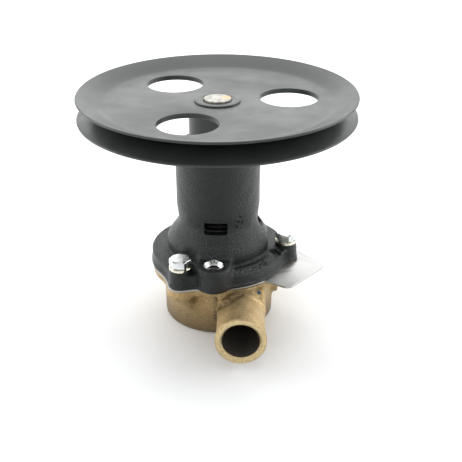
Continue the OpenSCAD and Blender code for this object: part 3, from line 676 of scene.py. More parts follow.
def turned_marks_group():
    """Fine rings that a lathe leaves round an axis. Across is the distance from that axis, in metres."""
    tree, takes, gives = group_tree("turned_marks", "ShaderNodeTree",
                                    [("Across", FLOAT, 0.0), ("Pitch", FLOAT, 0.0003)], [("Height", FLOAT)])
    turns = maths(tree, "DIVIDE", takes["Across"], takes["Pitch"])
    line = add(tree, "ShaderNodeCombineXYZ", {0: turns}).outputs[0]
    rings = add(tree, "ShaderNodeTexNoise", {"Vector": line, "Scale": 1.0, "Detail": 2.0},
                noise_dimensions="3D").outputs["Fac"]
    tree.links.new(rings, gives["Height"])
    return tree


def spot_group():
    """1 near a point and 0 past its reach, with a ragged edge."""
    tree, takes, gives = group_tree("spot", "ShaderNodeTree",
                                    [("Place", VECTOR, None), ("Centre", VECTOR, (0, 0, 0)),
                                     ("Reach", FLOAT, 0.002)], [("Mask", FLOAT)])
    away = add(tree, "ShaderNodeVectorMath", {0: takes["Place"], 1: takes["Centre"]},
               operation="DISTANCE").outputs[1]
    ragged = add(tree, "ShaderNodeTexNoise",
                 {"Vector": takes["Place"], "Scale": 900.0, "Detail": 2.0}).outputs["Fac"]
    share = plus(tree, maths(tree, "DIVIDE", away, takes["Reach"]),
                 times(tree, maths(tree, "SUBTRACT", ragged, 0.5), 0.9))
    tree.links.new(spread(tree, share, 0.75, 1.0, 1.0, 0.0), gives["Mask"])
    return tree


CAST_GRAIN = cast_grain_group()
TURNED_MARKS = turned_marks_group()
SPOT = spot_group()


def use(tree, group, values):
    return add(tree, "ShaderNodeGroup", values, node_tree=group).outputs


class Look:
    """A material being made: its node tree, its shader, and the place of each point in metres."""

    def __init__(self, name, colour, rough, metal=0.0, **fixed):
        self.material = bpy.data.materials.new(name)
        self.material.use_nodes = True
        self.tree = self.material.node_tree
        self.shader = self.tree.nodes["Principled BSDF"]
        self.place = add(self.tree, "ShaderNodeTexCoord").outputs["Object"]
        self.set(Base_Color=(*colour, 1.0), Roughness=rough, Metallic=metal)
        self.set(**fixed)

    def set(self, **values):
        """Sets or links inputs of the shader, with _ for each space in their names."""
        for key, value in values.items():
            target = self.shader.inputs[key.replace("_", " ")]
            if isinstance(value, bpy.types.NodeSocket):
                self.tree.links.new(value, target)
            else:
                target.default_value = value

    def relief(self, height, depth, under=None):
        """Bumps the surface by height, which runs from 0 to 1, times depth in millimetres."""
        values = {"Height": height, "Distance": depth * MM, "Strength": 1.0}
        if under is not None:
            values["Normal"] = under
        normal = add(self.tree, "ShaderNodeBump", values).outputs[0]
        self.set(Normal=normal)
        return normal

    def noise(self, size, detail, stretch=None):
        """Noise from 0 to 1 whose features are size millimetres across, stretched along X, Y and Z."""
        at = self.place
        if stretch:
            scale = tuple(1 / s for s in stretch)
            at = add(self.tree, "ShaderNodeMapping", {"Vector": at, "Scale": scale}).outputs[0]
        return add(self.tree, "ShaderNodeTexNoise", {"Vector": at, "Scale": 1 / (size * MM), "Detail": detail,
                                                     "Roughness": 0.55}).outputs["Fac"]

    def stored(self, name):
        """A value that the mesh keeps at each point."""
        return add(self.tree, "ShaderNodeAttribute", attribute_name=name).outputs["Fac"]

    def height(self):
        """Height above the floor, in metres."""
        return add(self.tree, "ShaderNodeSeparateXYZ", {0: self.place}).outputs[2]

    def across(self, axis, x=0.0, y=0.0, z=0.0):
        """Distance from a line along axis through (x, y, z), in metres."""
        keep = {"x": (0, 1, 1), "y": (1, 0, 1), "z": (1, 1, 0)}[axis]
        off = add(self.tree, "ShaderNodeVectorMath", {0: self.place, 1: (x * MM, y * MM, z * MM)},
                  operation="SUBTRACT").outputs[0]
        flat = add(self.tree, "ShaderNodeVectorMath", {0: off, 1: keep}, operation="MULTIPLY").outputs[0]
        return add(self.tree, "ShaderNodeVectorMath", {0: flat}, operation="LENGTH").outputs[1]

    def spot(self, centre, reach):
        """1 near a point and 0 past its reach, both in millimetres."""
        values = {"Place": self.place, "Reach": reach * MM, "Centre": tuple(c * MM for c in centre)}
        return use(self.tree, SPOT, values)["Mask"]

    def tones(self, factor, dark, light):
        return blend_colours(self.tree, factor, (*dark, 1.0), (*light, 1.0))

    def over(self, colour, factor, tint):
        """colour with tint laid over it by factor."""
        return blend_colours(self.tree, factor, colour, (*tint, 1.0))


# Finishes

def on_circle(radius, azimuth, height):
    """A point at an azimuth round the shaft."""
    a = math.radians(azimuth)
    return radius * math.cos(a), radius * math.sin(a), height


def painted_iron():
    """Black paint over sand cast iron, worn through on the flange's broken skin, with shade painted into its
    crevices, its pits and the flange's band.
    """
    look = Look("painted_iron", (0.006, 0.006, 0.007), 0.4, IOR=1.46, Specular_Tint=(0.92, 1.0, 0.97, 1.0))
    t = look.tree
    grain = use(t, CAST_GRAIN, {"Place": look.place, "Size": 0.9 * MM})
    crevice = look.stored("crevice")
    colour = look.tones(grain["Patches"], (0.004, 0.0045, 0.005), (0.010, 0.011, 0.0115))
    # Painted shade in the crevices
    colour = look.over(colour, spread(t, crevice, 0.3, 0.75), (0.003, 0.003, 0.003))
    colour = look.over(colour, times(t, spread(t, look.stored("edge"), 0.45, 0.9), 0.5), (0.04, 0.042, 0.043))
    # Unpainted dull iron inside
    inside = spread(t, look.across("z"), 0.0212, 0.0228, 1.0, 0.0)
    colour = look.over(colour, inside, (0.16, 0.166, 0.163))
    # Painted shade in the open pits on the tube
    pits = 0.0
    for azimuth, height, reach in TUBE_PITS:
        pits = maths(t, "MAXIMUM", pits, look.spot(on_circle(PITTED_R, azimuth, height), reach))
    colour = look.over(colour, pits, (0.001, 0.001, 0.001))
    # Paint gathered to a gloss over the front boss
    pool = look.spot(on_circle(35, BOSS_AZIMUTHS[0], 58), 9.0)
    rough = spread(t, grain["Height"], 0.4, 1.1, 0.25, 0.42)
    rough = maths(t, "SUBTRACT", plus(t, rough, times(t, crevice, 0.15)), times(t, pool, 0.14))
    # Broken skin: bright specks on dull iron, over shade painted along the band
    stain = look.stored("stain")
    broken = times(t, stain, spread(t, look.noise(1.1, 3.0), 0.46, 0.6))
    colour = look.over(colour, times(t, stain, 0.7), (0.003, 0.003, 0.003))
    colour = look.over(colour, times(t, broken, 0.8), (0.26, 0.27, 0.26))
    rough = plus(t, rough, times(t, plus(t, pits, stain), 0.3))
    # Painted shade in the pits: a black metal gives back nothing, so the pits read as holes
    look.set(Base_Color=colour, Roughness=rough, Metallic=times(t, pits, 0.9))
    height = plus(t, maths(t, "SUBTRACT", grain["Height"], pits), times(t, broken, 0.8))
    look.relief(height, 0.85)
    return look.material


def cast_bronze():
    """Sand cast bronze, speckled and bright on its edges, with shade painted into its crevices, pits and
    hollows and towards its foot.
    """
    look = Look("cast_bronze", (0.42, 0.3, 0.16), 0.5, 0.65)
    t = look.tree
    grain = use(t, CAST_GRAIN, {"Place": look.place, "Size": 0.8 * MM})
    colour = look.tones(spread(t, grain["Patches"], 0.3, 0.7), (0.40, 0.28, 0.125), (0.51, 0.37, 0.18))
    flecks = times(t, spread(t, look.noise(0.55, 3.0), 0.5, 0.63), 0.75)
    colour = look.over(colour, flecks, (0.105, 0.066, 0.03))
    light = look.noise(0.8, 2.0)
    colour = look.over(colour, times(t, spread(t, light, 0.56, 0.68), 0.6), (0.72, 0.56, 0.34))
    # Painted shade: darker and less metallic in crevices and pits, in the marked hollows and towards the foot
    painted_shade = plus(t, spread(t, look.stored("crevice"), 0.14, 0.55), grain["Pits"])
    painted_shade = plus(t, painted_shade, spread(t, look.height(), 0.0, 0.024, 0.7, 0.0))
    painted_shade = plus(t, painted_shade, times(t, look.stored("stain"), spread(t, look.noise(1.6, 3.0), 0.36, 0.6)))
    colour = look.over(colour, maths(t, "MINIMUM", painted_shade, 0.85), (0.085, 0.056, 0.030))
    colour = look.over(colour, times(t, spread(t, look.stored("edge"), 0.4, 0.85), 0.75), (0.80, 0.64, 0.38))
    speck = look.spot(SPECK_AT, 1.5)
    colour = look.over(colour, speck, (0.0, 0.07, 0.09))
    metal = maths(t, "SUBTRACT", 0.75, maths(t, "MAXIMUM", times(t, painted_shade, 0.45), speck))
    look.set(Base_Color=colour, Roughness=spread(t, grain["Height"], 0.4, 1.2, 0.36, 0.58), Metallic=metal)
    look.relief(plus(t, grain["Height"], times(t, light, 0.6)), 0.30)
    return look.material


def cut_bronze(name, axis, at, pitch, tone=(0.66, 0.52, 0.285)):
    """Machined bronze, with tool marks round an axis and a few open pores."""
    look = Look(name, tone, 0.34, 0.8)
    t = look.tree
    marks = use(t, TURNED_MARKS, {"Across": look.across(axis, *at), "Pitch": pitch * MM})["Height"]
    pores = spread(t, look.noise(0.7, 3.0), 0.53, 0.66)
    stain = look.noise(6.0, 3.0)
    colour = look.tones(stain, tuple(c * 0.78 for c in tone), tuple(min(1, c * 1.15) for c in tone))
    colour = look.over(colour, pores, (0.22, 0.15, 0.08))
    look.set(Base_Color=colour, Roughness=spread(t, stain, 0.3, 0.7, 0.3, 0.46))
    look.relief(maths(t, "SUBTRACT", marks, pores), 0.05)
    return look.material


def pulley_paint():
    """Smooth black paint on stamped steel, with faint patches, rings and dust."""
    look = Look("pulley_paint", (0.024, 0.026, 0.026), 0.36, IOR=1.465, Specular_Tint=(0.92, 1.0, 0.97, 1.0))
    t = look.tree
    patches = look.noise(16.0, 3.0)
    dust = spread(t, look.noise(0.55, 1.0), 0.735, 0.76)
    rings = use(t, TURNED_MARKS, {"Across": look.across("z"), "Pitch": 0.9 * MM})["Height"]
    colour = look.tones(patches, (0.020, 0.0215, 0.0215), (0.032, 0.0345, 0.034))
    colour = look.over(colour, times(t, dust, 0.5), (0.10, 0.10, 0.095))
    rough = plus(t, spread(t, patches, 0.3, 0.7, 0.33, 0.41), times(t, dust, 0.2))
    look.set(Base_Color=colour, Roughness=rough)
    under = look.relief(look.noise(1.6, 1.0), 0.012)
    look.relief(rings, 0.006, under)
    return look.material


def bright_metal(name, tone, rough, size, depth=0.02):
    """Clean metal with slow stains and fine marks."""
    look = Look(name, tone, rough, 1.0)
    t = look.tree
    stain = look.noise(size, 4.0)
    dark, light = tuple(c * 0.8 for c in tone), tuple(min(1, c * 1.12) for c in tone)
    look.set(Base_Color=look.tones(spread(t, stain, 0.3, 0.7), dark, light),
             Roughness=spread(t, stain, 0.3, 0.7, rough * 0.8, rough * 1.3))
    look.relief(look.noise(0.35, 2.0), depth)
    return look.material


def brushed_plate():
    """Stainless sheet with its grain along the tab's outer edge."""
    look = Look("brushed_plate", (0.7, 0.7, 0.69), 0.33, 1.0)
    t = look.tree
    along_tab = add(t, "ShaderNodeMapping", {"Vector": look.place, "Rotation": (0, 0, math.radians(40.6)),
                                             "Scale": (1.0, 0.04, 1.0)}).outputs[0]
    lines = add(t, "ShaderNodeTexNoise", {"Vector": along_tab, "Scale": 2600.0, "Detail": 3.0}).outputs["Fac"]
    stain = look.noise(9.0, 4.0)
    rough = plus(t, spread(t, lines, 0.3, 0.7, 0.26, 0.36), times(t, stain, 0.12))
    look.set(Base_Color=look.tones(times(t, lines, stain), (0.36, 0.365, 0.355), (0.60, 0.605, 0.59)),
             Roughness=rough)
    look.relief(lines, 0.012)
    return look.material


def shaft_steel():
    """Bright serrated shaft end with a rust bloom on one side, and oiled dark steel inside the housing."""
    look = Look("shaft_steel", (0.6, 0.59, 0.54), 0.34, 1.0)
    t = look.tree
    marks = use(t, TURNED_MARKS, {"Across": look.across("z"), "Pitch": 0.35 * MM})["Height"]
    stain = look.noise(3.0, 4.0)
    colour = look.tones(spread(t, stain, 0.3, 0.7), (0.15, 0.145, 0.12), (0.38, 0.38, 0.34))
    colour = look.over(colour, times(t, look.spot(RUST_AT, 3.6), 0.6), (0.5, 0.3, 0.1))
    oiled = spread(t, look.height(), (HUB_LOW - 4) * MM, HUB_LOW * MM, 1.0, 0.0)
    colour = look.over(colour, oiled, (0.075, 0.075, 0.072))
    look.set(Base_Color=colour, Roughness=spread(t, stain, 0.3, 0.7, 0.24, 0.4))
    look.relief(marks, 0.02)
    return look.material


def moulded_rubber(name, tone, rough):
    look = Look(name, tone, rough)
    t = look.tree
    bloom = look.noise(6.0, 4.0)
    look.set(Base_Color=look.tones(spread(t, bloom, 0.35, 0.75), tone, tuple(c * 1.9 for c in tone)),
             Roughness=spread(t, bloom, 0.3, 0.7, rough - 0.08, rough + 0.1))
    look.relief(look.noise(0.5, 3.0), 0.03)
    return look.material


def fibre_gasket():
    look = Look("fibre_gasket", (0.2, 0.14, 0.08), 0.85)
    fibres = look.noise(0.5, 4.0, (3.0, 1.0, 1.0))
    look.set(Base_Color=look.tones(fibres, (0.13, 0.09, 0.05), (0.29, 0.22, 0.14)))
    look.relief(fibres, 0.05)
    return look.material


def pale_floor():
    look = Look("pale_floor", (0.88, 0.885, 0.88), 0.7, Specular_IOR_Level=0.25)
    look.set(Base_Color=look.tones(look.noise(40.0, 3.0), (0.875, 0.88, 0.875), (0.89, 0.895, 0.89)))
    return look.material


PAINTED_IRON = painted_iron()
CAST_BRONZE = cast_bronze()
PORT_FACE = cut_bronze("cut_bronze_ports", "y", (PORT_X, 0, PORT_Z), 0.35)
CUT_BRONZE = cut_bronze("cut_bronze", "z", (0, 0, 0), 0.5)
DARK_BRONZE = cut_bronze("dark_bronze", "y", (PORT_X, 0, PORT_Z), 0.6, (0.30, 0.285, 0.26))
PULLEY_PAINT = pulley_paint()
ZINC = bright_metal("bright_zinc", (0.73, 0.75, 0.75), 0.27, 4.0, 0.004)
WASHER = bright_metal("washer_zinc", (0.86, 0.83, 0.70), 0.24, 3.0)
STEEL = bright_metal("ground_steel", (0.62, 0.63, 0.64), 0.2, 6.0, 0.005)
THREAD_STEEL = bright_metal("thread_steel", (0.80, 0.80, 0.78), 0.24, 2.0)
# Near black steel that paints the shade inside the threaded holes
HOLE_SHADE_STEEL = bright_metal("hole_shade_steel", (0.06, 0.06, 0.06), 0.45, 2.0)
RIDGE_STEEL = bright_metal("ridge_steel", (0.22, 0.22, 0.22), 0.35, 2.0)
SPRING = bright_metal("spring_steel", (0.12, 0.12, 0.125), 0.4, 4.0)
BRASS = bright_metal("turned_brass", (0.76, 0.58, 0.27), 0.28, 5.0)
PLATE = brushed_plate()
SHAFT_STEEL = shaft_steel()
RUBBER = moulded_rubber("moulded_rubber", (0.02, 0.02, 0.021), 0.62)
SEAL_RUBBER = moulded_rubber("seal_rubber", (0.022, 0.022, 0.022), 0.6)
GASKET = fibre_gasket()


# Castings

def window(width, height, mid_z, azimuth, corner=1.1):
    """A block that cuts a window with rounded corners out through the housing's wall."""
    outline = []
    for side, up, start in ((1, 1, 0), (-1, 1, 90), (-1, -1, 180), (1, -1, 270)):
        for k in range(7):
            a = math.radians(start + 15 * k)
            outline.append((side * (width / 2 - corner) + corner * math.cos(a),
                            up * (height / 2 - corner) + corner * math.sin(a)))
    n = len(outline)
    points = [(u, a, b + mid_z) for u in (14.0, 42.0) for a, b in outline]
    faces = [tuple(range(n))[::-1], tuple(range(n, 2 * n))]
    faces += [(k, (k + 1) % n, n + (k + 1) % n, n + k) for k in range(n)]
    return stand(points, azimuth), faces


def thread(r, depth, pitch, low, high):
    """A helical ridge inside a threaded hole."""
    per_turn = 36
    section = ((0.05, -0.45), (-depth, -0.08), (-depth, 0.08), (0.05, 0.45))
    count = int((high - low) / pitch * per_turn)
    points, faces = [], []
    for k in range(count + 1):
        a, z = 2 * math.pi * k / per_turn, low + pitch * k / per_turn
        fade = min(1.0, k / 10, (count - k) / 10)
        for dr, dz in section:
            points.append(((r + dr * fade) * math.cos(a), (r + dr * fade) * math.sin(a), z + dz * pitch))
    m = len(section)
    for k in range(count):
        for i in range(m):
            j = (i + 1) % m
            faces.append((k * m + i, k * m + j, (k + 1) * m + j, (k + 1) * m + i))
    faces += [tuple(range(m))[::-1], tuple(range(count * m, count * m + m))]
    return points, faces


def body_cutters():
    """What is machined out of the bronze body."""
    cutters = [lathe([(0, BODY_TOP), (60, BODY_TOP), (60, 48), (0, 48)], 8)]
    cutters.append(lathe([(0, FLOOR_T), (CHAMBER_R - 1, FLOOR_T), (CHAMBER_R, FLOOR_T + 1), (CHAMBER_R, 45),
                          (0, 45)], 160))
    for side in (-1, 1):
        bore = lathe([(0, 20), (PASSAGE_R, 20), (PASSAGE_R, WATERWAY_IN), (WATERWAY_R, WATERWAY_IN),
                      (WATERWAY_R, PORT_END - 0.9), (WATERWAY_R + 2.9, PORT_END + 2), (0, PORT_END + 2)], 128)
        along = stand(bore[0], 0, "y")
        cutters.append((along * (1, side, side) + (PORT_X, 0, PORT_Z), bore[1]))
    spot_face = cylinder(5.5, CAM_BOSS_REACH, 60, 64)
    hole = cylinder(2.8, 20, 60, 48)
    for points, faces in (spot_face, hole):
        cutters.append((stand(points, 0, "x", (0, 0, CAM_Z)), faces))
    for azimuth in BOLT_AZIMUTHS:
        cutters.append(stand_off(cylinder(BODY_HOLE_R, 28.4, 45, 48), BOLT_CIRCLE, azimuth))
    return cutters


def pump_body():
    points, faces = net(bronze_field, (-47, -82, -0.5), (55, 82, 42), BRONZE_CELL)
    piece = put("bronze_body", build_mesh("bronze_body", points, faces))
    carve(piece, body_cutters())
    mesh = piece.data
    # Its stain marks where shade is painted on the bronze
    note_relief(mesh, bronze_field, bronze_painted_shade)
    centre, _ = face_facts(mesh)
    cut = np.abs(bronze_field(*centre.T)) > 0.12
    rho = np.hypot(centre[:, 0], centre[:, 1])
    from_port = np.hypot(centre[:, 0] - PORT_X, centre[:, 2] - PORT_Z)
    at_port_end = np.abs(centre[:, 1]) > PORT_END - 1.2
    # Sand cast skin 0, port faces 1, machined bronze 2, dark waterways 3
    number = np.zeros(len(centre), int)
    number[cut] = 2
    number[cut & (from_port < WATERWAY_R + 0.05) & (rho > CHAMBER_R - 2)] = 3
    number[at_port_end & (from_port > WATERWAY_R - 0.2) & (from_port < BEAD_R - 0.5)] = 1
    number[(rho < CHAMBER_R + 0.2) & (centre[:, 2] > FLOOR_T - 0.1)] = 2
    paint(mesh, [CAST_BRONZE, PORT_FACE, CUT_BRONZE, DARK_BRONZE], number)
    finish_piece(piece, "pump", "sand_cast_bronze", CAST_BRONZE, "pump_body")


def housing_cutters():
    """What is machined or cast out of the iron housing."""
    cutters = [lathe([(0, 30), (70, 30), (70, HOUSING_Z), (0, HOUSING_Z)], 8)]
    low, water_seal, oil_seal = HOUSING_Z - 1.2, WATER_SEAL_R + SEAT_PLAY, OIL_SEAL_R + SEAT_PLAY
    below_web, above_web = DRAIN_FLOOR - SEAL_WEB, DRAIN_TOP + SEAL_WEB
    bearing, ring_top = BEARING_R + SEAT_PLAY, STACK_TOP + 1.7
    cutters.append(lathe([(0, low), (water_seal, low), (water_seal, below_web), (WEB_HOLE_R, below_web),
                          (WEB_HOLE_R, DRAIN_FLOOR), (DRAIN_R, DRAIN_FLOOR), (DRAIN_R, DRAIN_TOP),
                          (WEB_HOLE_R, DRAIN_TOP), (WEB_HOLE_R, above_web), (oil_seal, above_web),
                          (oil_seal, LOWER_SEAT), (bearing, LOWER_SEAT), (bearing, STACK_TOP),
                          (SNAP_GROOVE_R, STACK_TOP), (SNAP_GROOVE_R, ring_top), (bearing, ring_top),
                          (bearing, HOUSING_TOP - 0.5), (21.5, HOUSING_TOP + 1), (0, HOUSING_TOP + 1)], 160))
    for azimuth in BOLT_AZIMUTHS:
        for r, bottom, top in ((HOUSING_HOLE_R, 38, 60), (SPOT_FACE_R, LUG_TOP, 70)):
            cutters.append(stand_off(cylinder(r, bottom, top, 64), BOLT_CIRCLE, azimuth))
    top = HOUSING_Z + BOSS_H
    mouth = lathe([(0, top - THREAD_DEPTH - 2), (THREAD_R, top - THREAD_DEPTH),
                   (THREAD_R, top - MOUTH_R + THREAD_R), (MOUTH_R + 1.5, top + 1.5), (0, top + 1.5)], 96)
    for azimuth in BOSS_AZIMUTHS:
        cutters.append(stand_off(mouth, BOSS_AT, azimuth))
    for sizes in WINDOWS:
        cutters.append(window(*sizes))
    return cutters


def bearing_housing():
    points, faces = net(iron_field, (-47, -56, HOUSING_Z - 0.5), (56, 56, HOUSING_TOP + 0.5), IRON_CELL)
    piece = put("iron_housing", build_mesh("iron_housing", points, faces))
    carve(piece, housing_cutters())
    mesh = piece.data
    # Its stain marks broken skin and painted shade along the flange
    note_relief(mesh, iron_field, skin_and_shade_band)
    centre, normal = face_facts(mesh)
    off = np.abs(iron_field(*centre.T))
    from_boss = np.full(len(centre), 99.0)
    for azimuth in BOSS_AZIMUTHS:
        u, v = turned(centre[:, 0], centre[:, 1], azimuth)
        from_boss = np.minimum(from_boss, np.hypot(u - BOSS_AT, v))
    leans = (normal[:, 2] > 0.3) & (normal[:, 2] < 0.95)
    # Painted skin 0, bright chamfer at the mouth of a threaded hole 1, dark hole walls with painted shade 2
    number = np.zeros(len(centre), int)
    number[(from_boss < 6.4) & (off > 0.12)] = 2
    number[(from_boss > 3.9) & (from_boss < 6.5) & (centre[:, 2] > 52.4) & (off > 0.05) & leans] = 1
    paint(mesh, [PAINTED_IRON, THREAD_STEEL, HOLE_SHADE_STEEL], number)
    finish_piece(piece, "pump", "black_iron", PAINTED_IRON, "bearing_housing")


def boss_threads():
    top = HOUSING_Z + BOSS_H
    for k, azimuth in enumerate(BOSS_AZIMUTHS):
        points, faces = thread(THREAD_R, 0.6, 1.4, top - THREAD_DEPTH + 1, top - 3.4)
        at = stand([(BOSS_AT, 0, 0)], azimuth)[0]
        name = "boss_thread_%d" % (k + 1)
        ridge = put(name, build_mesh("boss_thread", stand(points, azimuth) + at, faces))
        finish_piece(ridge, "pump", "black_iron", RIDGE_STEEL, crease=25)


# Pulley

def stamped_web(tree, into):
    """Flat web, filled between its outer edge, its bore and its holes."""
    three = add(tree, "GeometryNodeMeshCircle", {"Vertices": 3, "Radius": into["Hole distance"]})
    spin = add(tree, "ShaderNodeCombineXYZ", {2: into["Hole turn"]}).outputs[0]
    three = add(tree, "GeometryNodeTransform", {"Geometry": three.outputs["Mesh"], "Rotation": spin})
    circle = "GeometryNodeCurvePrimitiveCircle"
    hole = add(tree, circle, {"Resolution": 144, "Radius": into["Hole radius"]}).outputs["Curve"]
    holes = add(tree, "GeometryNodeInstanceOnPoints", {"Points": three.outputs[0], "Instance": hole})
    holes = add(tree, "GeometryNodeRealizeInstances", {"Geometry": holes.outputs[0]})
    bore = add(tree, circle, {"Resolution": 120, "Radius": into["Bore radius"]})
    edge = add(tree, circle, {"Resolution": 240, "Radius": into["Flat radius"]})
    outlines = add(tree, "GeometryNodeJoinGeometry")
    for part in (holes.outputs[0], bore.outputs["Curve"], edge.outputs["Curve"]):
        tree.links.new(part, outlines.inputs[0])
    return add(tree, "GeometryNodeFillCurve", {"Curve": outlines.outputs[0]}, mode="NGONS").outputs[0]


def stamped_cone(tree, into):
    """Bend and cone: rows of one radius each, close together in the bend. Height follows radius."""
    grid = add(tree, "GeometryNodeMeshGrid",
               {"Size X": 1.0, "Size Y": 1.0, "Vertices X": 241, "Vertices Y": 26})
    at = add(tree, "ShaderNodeSeparateXYZ", {0: add(tree, "GeometryNodeInputPosition").outputs[0]}).outputs
    turn = times(tree, plus(tree, at[0], 0.5), 2 * math.pi)
    row = maths(tree, "DIVIDE", plus(tree, at[1], 0.5), 0.96)
    last = maths(tree, "GREATER_THAN", row, 1.02)
    bend_width = maths(tree, "SUBTRACT", into["Cone from"], into["Flat radius"])
    cone_width = maths(tree, "SUBTRACT", into["Rim radius"], into["Cone from"])
    radius = plus(tree, into["Flat radius"], times(tree, maths(tree, "MINIMUM", row, 1.0), bend_width))
    radius = plus(tree, radius, times(tree, last, cone_width))
    past_bend = maths(tree, "DIVIDE", maths(tree, "SUBTRACT", radius, into["Web radius"]), into["Bend"])
    soft = maths(tree, "LOGARITHM", plus(tree, 1.0, maths(tree, "EXPONENT", past_bend)), math.e)
    height = times(tree, times(tree, soft, into["Bend"]), into["Cone slope"])
    x = times(tree, radius, maths(tree, "COSINE", turn))
    y = times(tree, radius, maths(tree, "SINE", turn))
    place = add(tree, "ShaderNodeCombineXYZ", {0: x, 1: y, 2: height})
    cone = add(tree, "GeometryNodeSetPosition",
               {"Geometry": grid.outputs["Mesh"], "Position": place.outputs[0]})
    return add(tree, "GeometryNodeFlipFaces", {"Mesh": cone.outputs[0]}).outputs[0]


def disc_tree():
    """Geometry nodes for one stamped disc: a flat web with holes, a cone bent up round it, a thickness."""
    takes = [("Geometry", GEOMETRY, None), ("Rim radius", FLOAT, 0.089), ("Web radius", FLOAT, 0.074),
             ("Flat radius", FLOAT, 0.066), ("Cone from", FLOAT, 0.08), ("Bore radius", FLOAT, 0.0147),
             ("Bend", FLOAT, 0.0012), ("Cone slope", FLOAT, 0.414), ("Sheet", FLOAT, 0.0016),
             ("Hole radius", FLOAT, 0.0188), ("Hole distance", FLOAT, 0.046), ("Hole turn", FLOAT, 0.0),
             ("Joint height", FLOAT, 0.149), ("Faces down", "NodeSocketBool", False)]
    tree, into, out = group_tree("stamped_disc", "GeometryNodeTree", takes, [("Geometry", GEOMETRY)])
    sheet = add(tree, "GeometryNodeJoinGeometry")
    for part in (stamped_web(tree, into), stamped_cone(tree, into)):
        tree.links.new(part, sheet.inputs[0])
    sheet = add(tree, "GeometryNodeMergeByDistance", {"Geometry": sheet.outputs[0], "Distance": 4e-6})
    normal = add(tree, "GeometryNodeInputNormal").outputs[0]
    thick = add(tree, "GeometryNodeExtrudeMesh", {"Mesh": sheet.outputs[0], "Offset": normal,
                                                  "Offset Scale": into["Sheet"], "Individual": False})
    under = add(tree, "GeometryNodeFlipFaces", {"Mesh": sheet.outputs[0]})
    solid = add(tree, "GeometryNodeJoinGeometry")
    for part in (thick.outputs["Mesh"], under.outputs[0]):
        tree.links.new(part, solid.inputs[0])
    solid = add(tree, "GeometryNodeMergeByDistance", {"Geometry": solid.outputs[0], "Distance": 1e-6})
    over = add(tree, "GeometryNodeTransform", {"Geometry": solid.outputs[0], "Scale": (1.0, 1.0, -1.0)})
    over = add(tree, "GeometryNodeFlipFaces", {"Mesh": over.outputs[0]})
    chosen = add(tree, "GeometryNodeSwitch", {"Switch": into["Faces down"], "False": solid.outputs[0],
                                              "True": over.outputs[0]}, input_type="GEOMETRY")
    lift = add(tree, "ShaderNodeCombineXYZ", {2: into["Joint height"]}).outputs[0]
    placed = add(tree, "GeometryNodeTransform", {"Geometry": chosen.outputs[0], "Translation": lift})
    dressed = add(tree, "GeometryNodeSetMaterial", {"Geometry": placed.outputs[0], "Material": PULLEY_PAINT})
    tree.links.new(dressed.outputs[0], out["Geometry"])
    return tree


def run_tree(piece, tree, values):
    """Evaluates a geometry node tree on a piece, and leaves a plain mesh."""
    work = piece.modifiers.new("nodes", "NODES")
    work.node_group = tree
    for item in tree.interface.items_tree:
        if item.item_type == "SOCKET" and item.in_out == "INPUT" and item.name in values:
            work[item.identifier] = values[item.name]
    return baked(piece)


def stamped_disc(name, node, tree, faces_down):
    piece = put(name, bpy.data.meshes.new(name))
    # The sheet's outer corner, once its edge is rounded, comes back to the rim's radius
    run_tree(piece, tree, {"Rim radius": (RIM_R + 0.205) * MM, "Web radius": (WEB_R + 0.34) * MM,
                           "Flat radius": FLAT_R * MM, "Cone from": CONE_FROM * MM,
                           "Bore radius": (COLLAR_R + 0.02) * MM, "Bend": BEND * MM,
                           "Cone slope": math.tan(math.radians(CONE)), "Sheet": SHEET * MM,
                           "Hole radius": HOLE_R * MM, "Hole distance": HOLE_AT * MM,
                           "Hole turn": math.radians(HOLE_AZ), "Joint height": DISC_JOINT * MM,
                           "Faces down": faces_down})
    mesh = piece.data
    mesh.attributes.new("bevel_weight_edge", "FLOAT", "EDGE").data.foreach_set("value", edge_weights(mesh))
    bevel = piece.modifiers.new("bevel", "BEVEL")
    bevel.width, bevel.segments, bevel.limit_method = SHEET_EDGE * MM, 4, "WEIGHT"
    baked(piece)
    finish_piece(piece, "rotor", "black_pulley_paint", PULLEY_PAINT, node, crease=40)


def edge_weights(mesh):
    """Bevel weight of each edge: whole at the rim, a third round the holes, none elsewhere."""
    ends = np.empty(len(mesh.edges) * 2, np.int32)
    mesh.edges.foreach_get("vertices", ends)
    ends = ends.reshape(-1, 2)
    _, normals = face_facts(mesh)
    loop_edge = np.empty(len(mesh.loops), np.int32)
    mesh.loops.foreach_get("edge_index", loop_edge)
    totals = np.empty(len(mesh.polygons), np.int32)
    mesh.polygons.foreach_get("loop_total", totals)
    owner = np.repeat(np.arange(len(mesh.polygons)), totals)
    order = np.argsort(loop_edge, kind="stable")
    edges, first = np.unique(loop_edge[order], return_index=True)
    one, two = owner[order][first], owner[order][np.minimum(first + 1, len(order) - 1)]
    sharp = np.zeros(len(ends), bool)
    sharp[edges] = (normals[one] * normals[two]).sum(1) < math.cos(math.radians(50))
    rho = np.hypot(*vertex_places(mesh)[ends].mean(1)[:, :2].T)
    weights = np.where(sharp, np.where(rho > 85, 1.0, np.where(rho > 20, 0.36, 0.0)), 0.0)
    return weights.astype(np.float32)


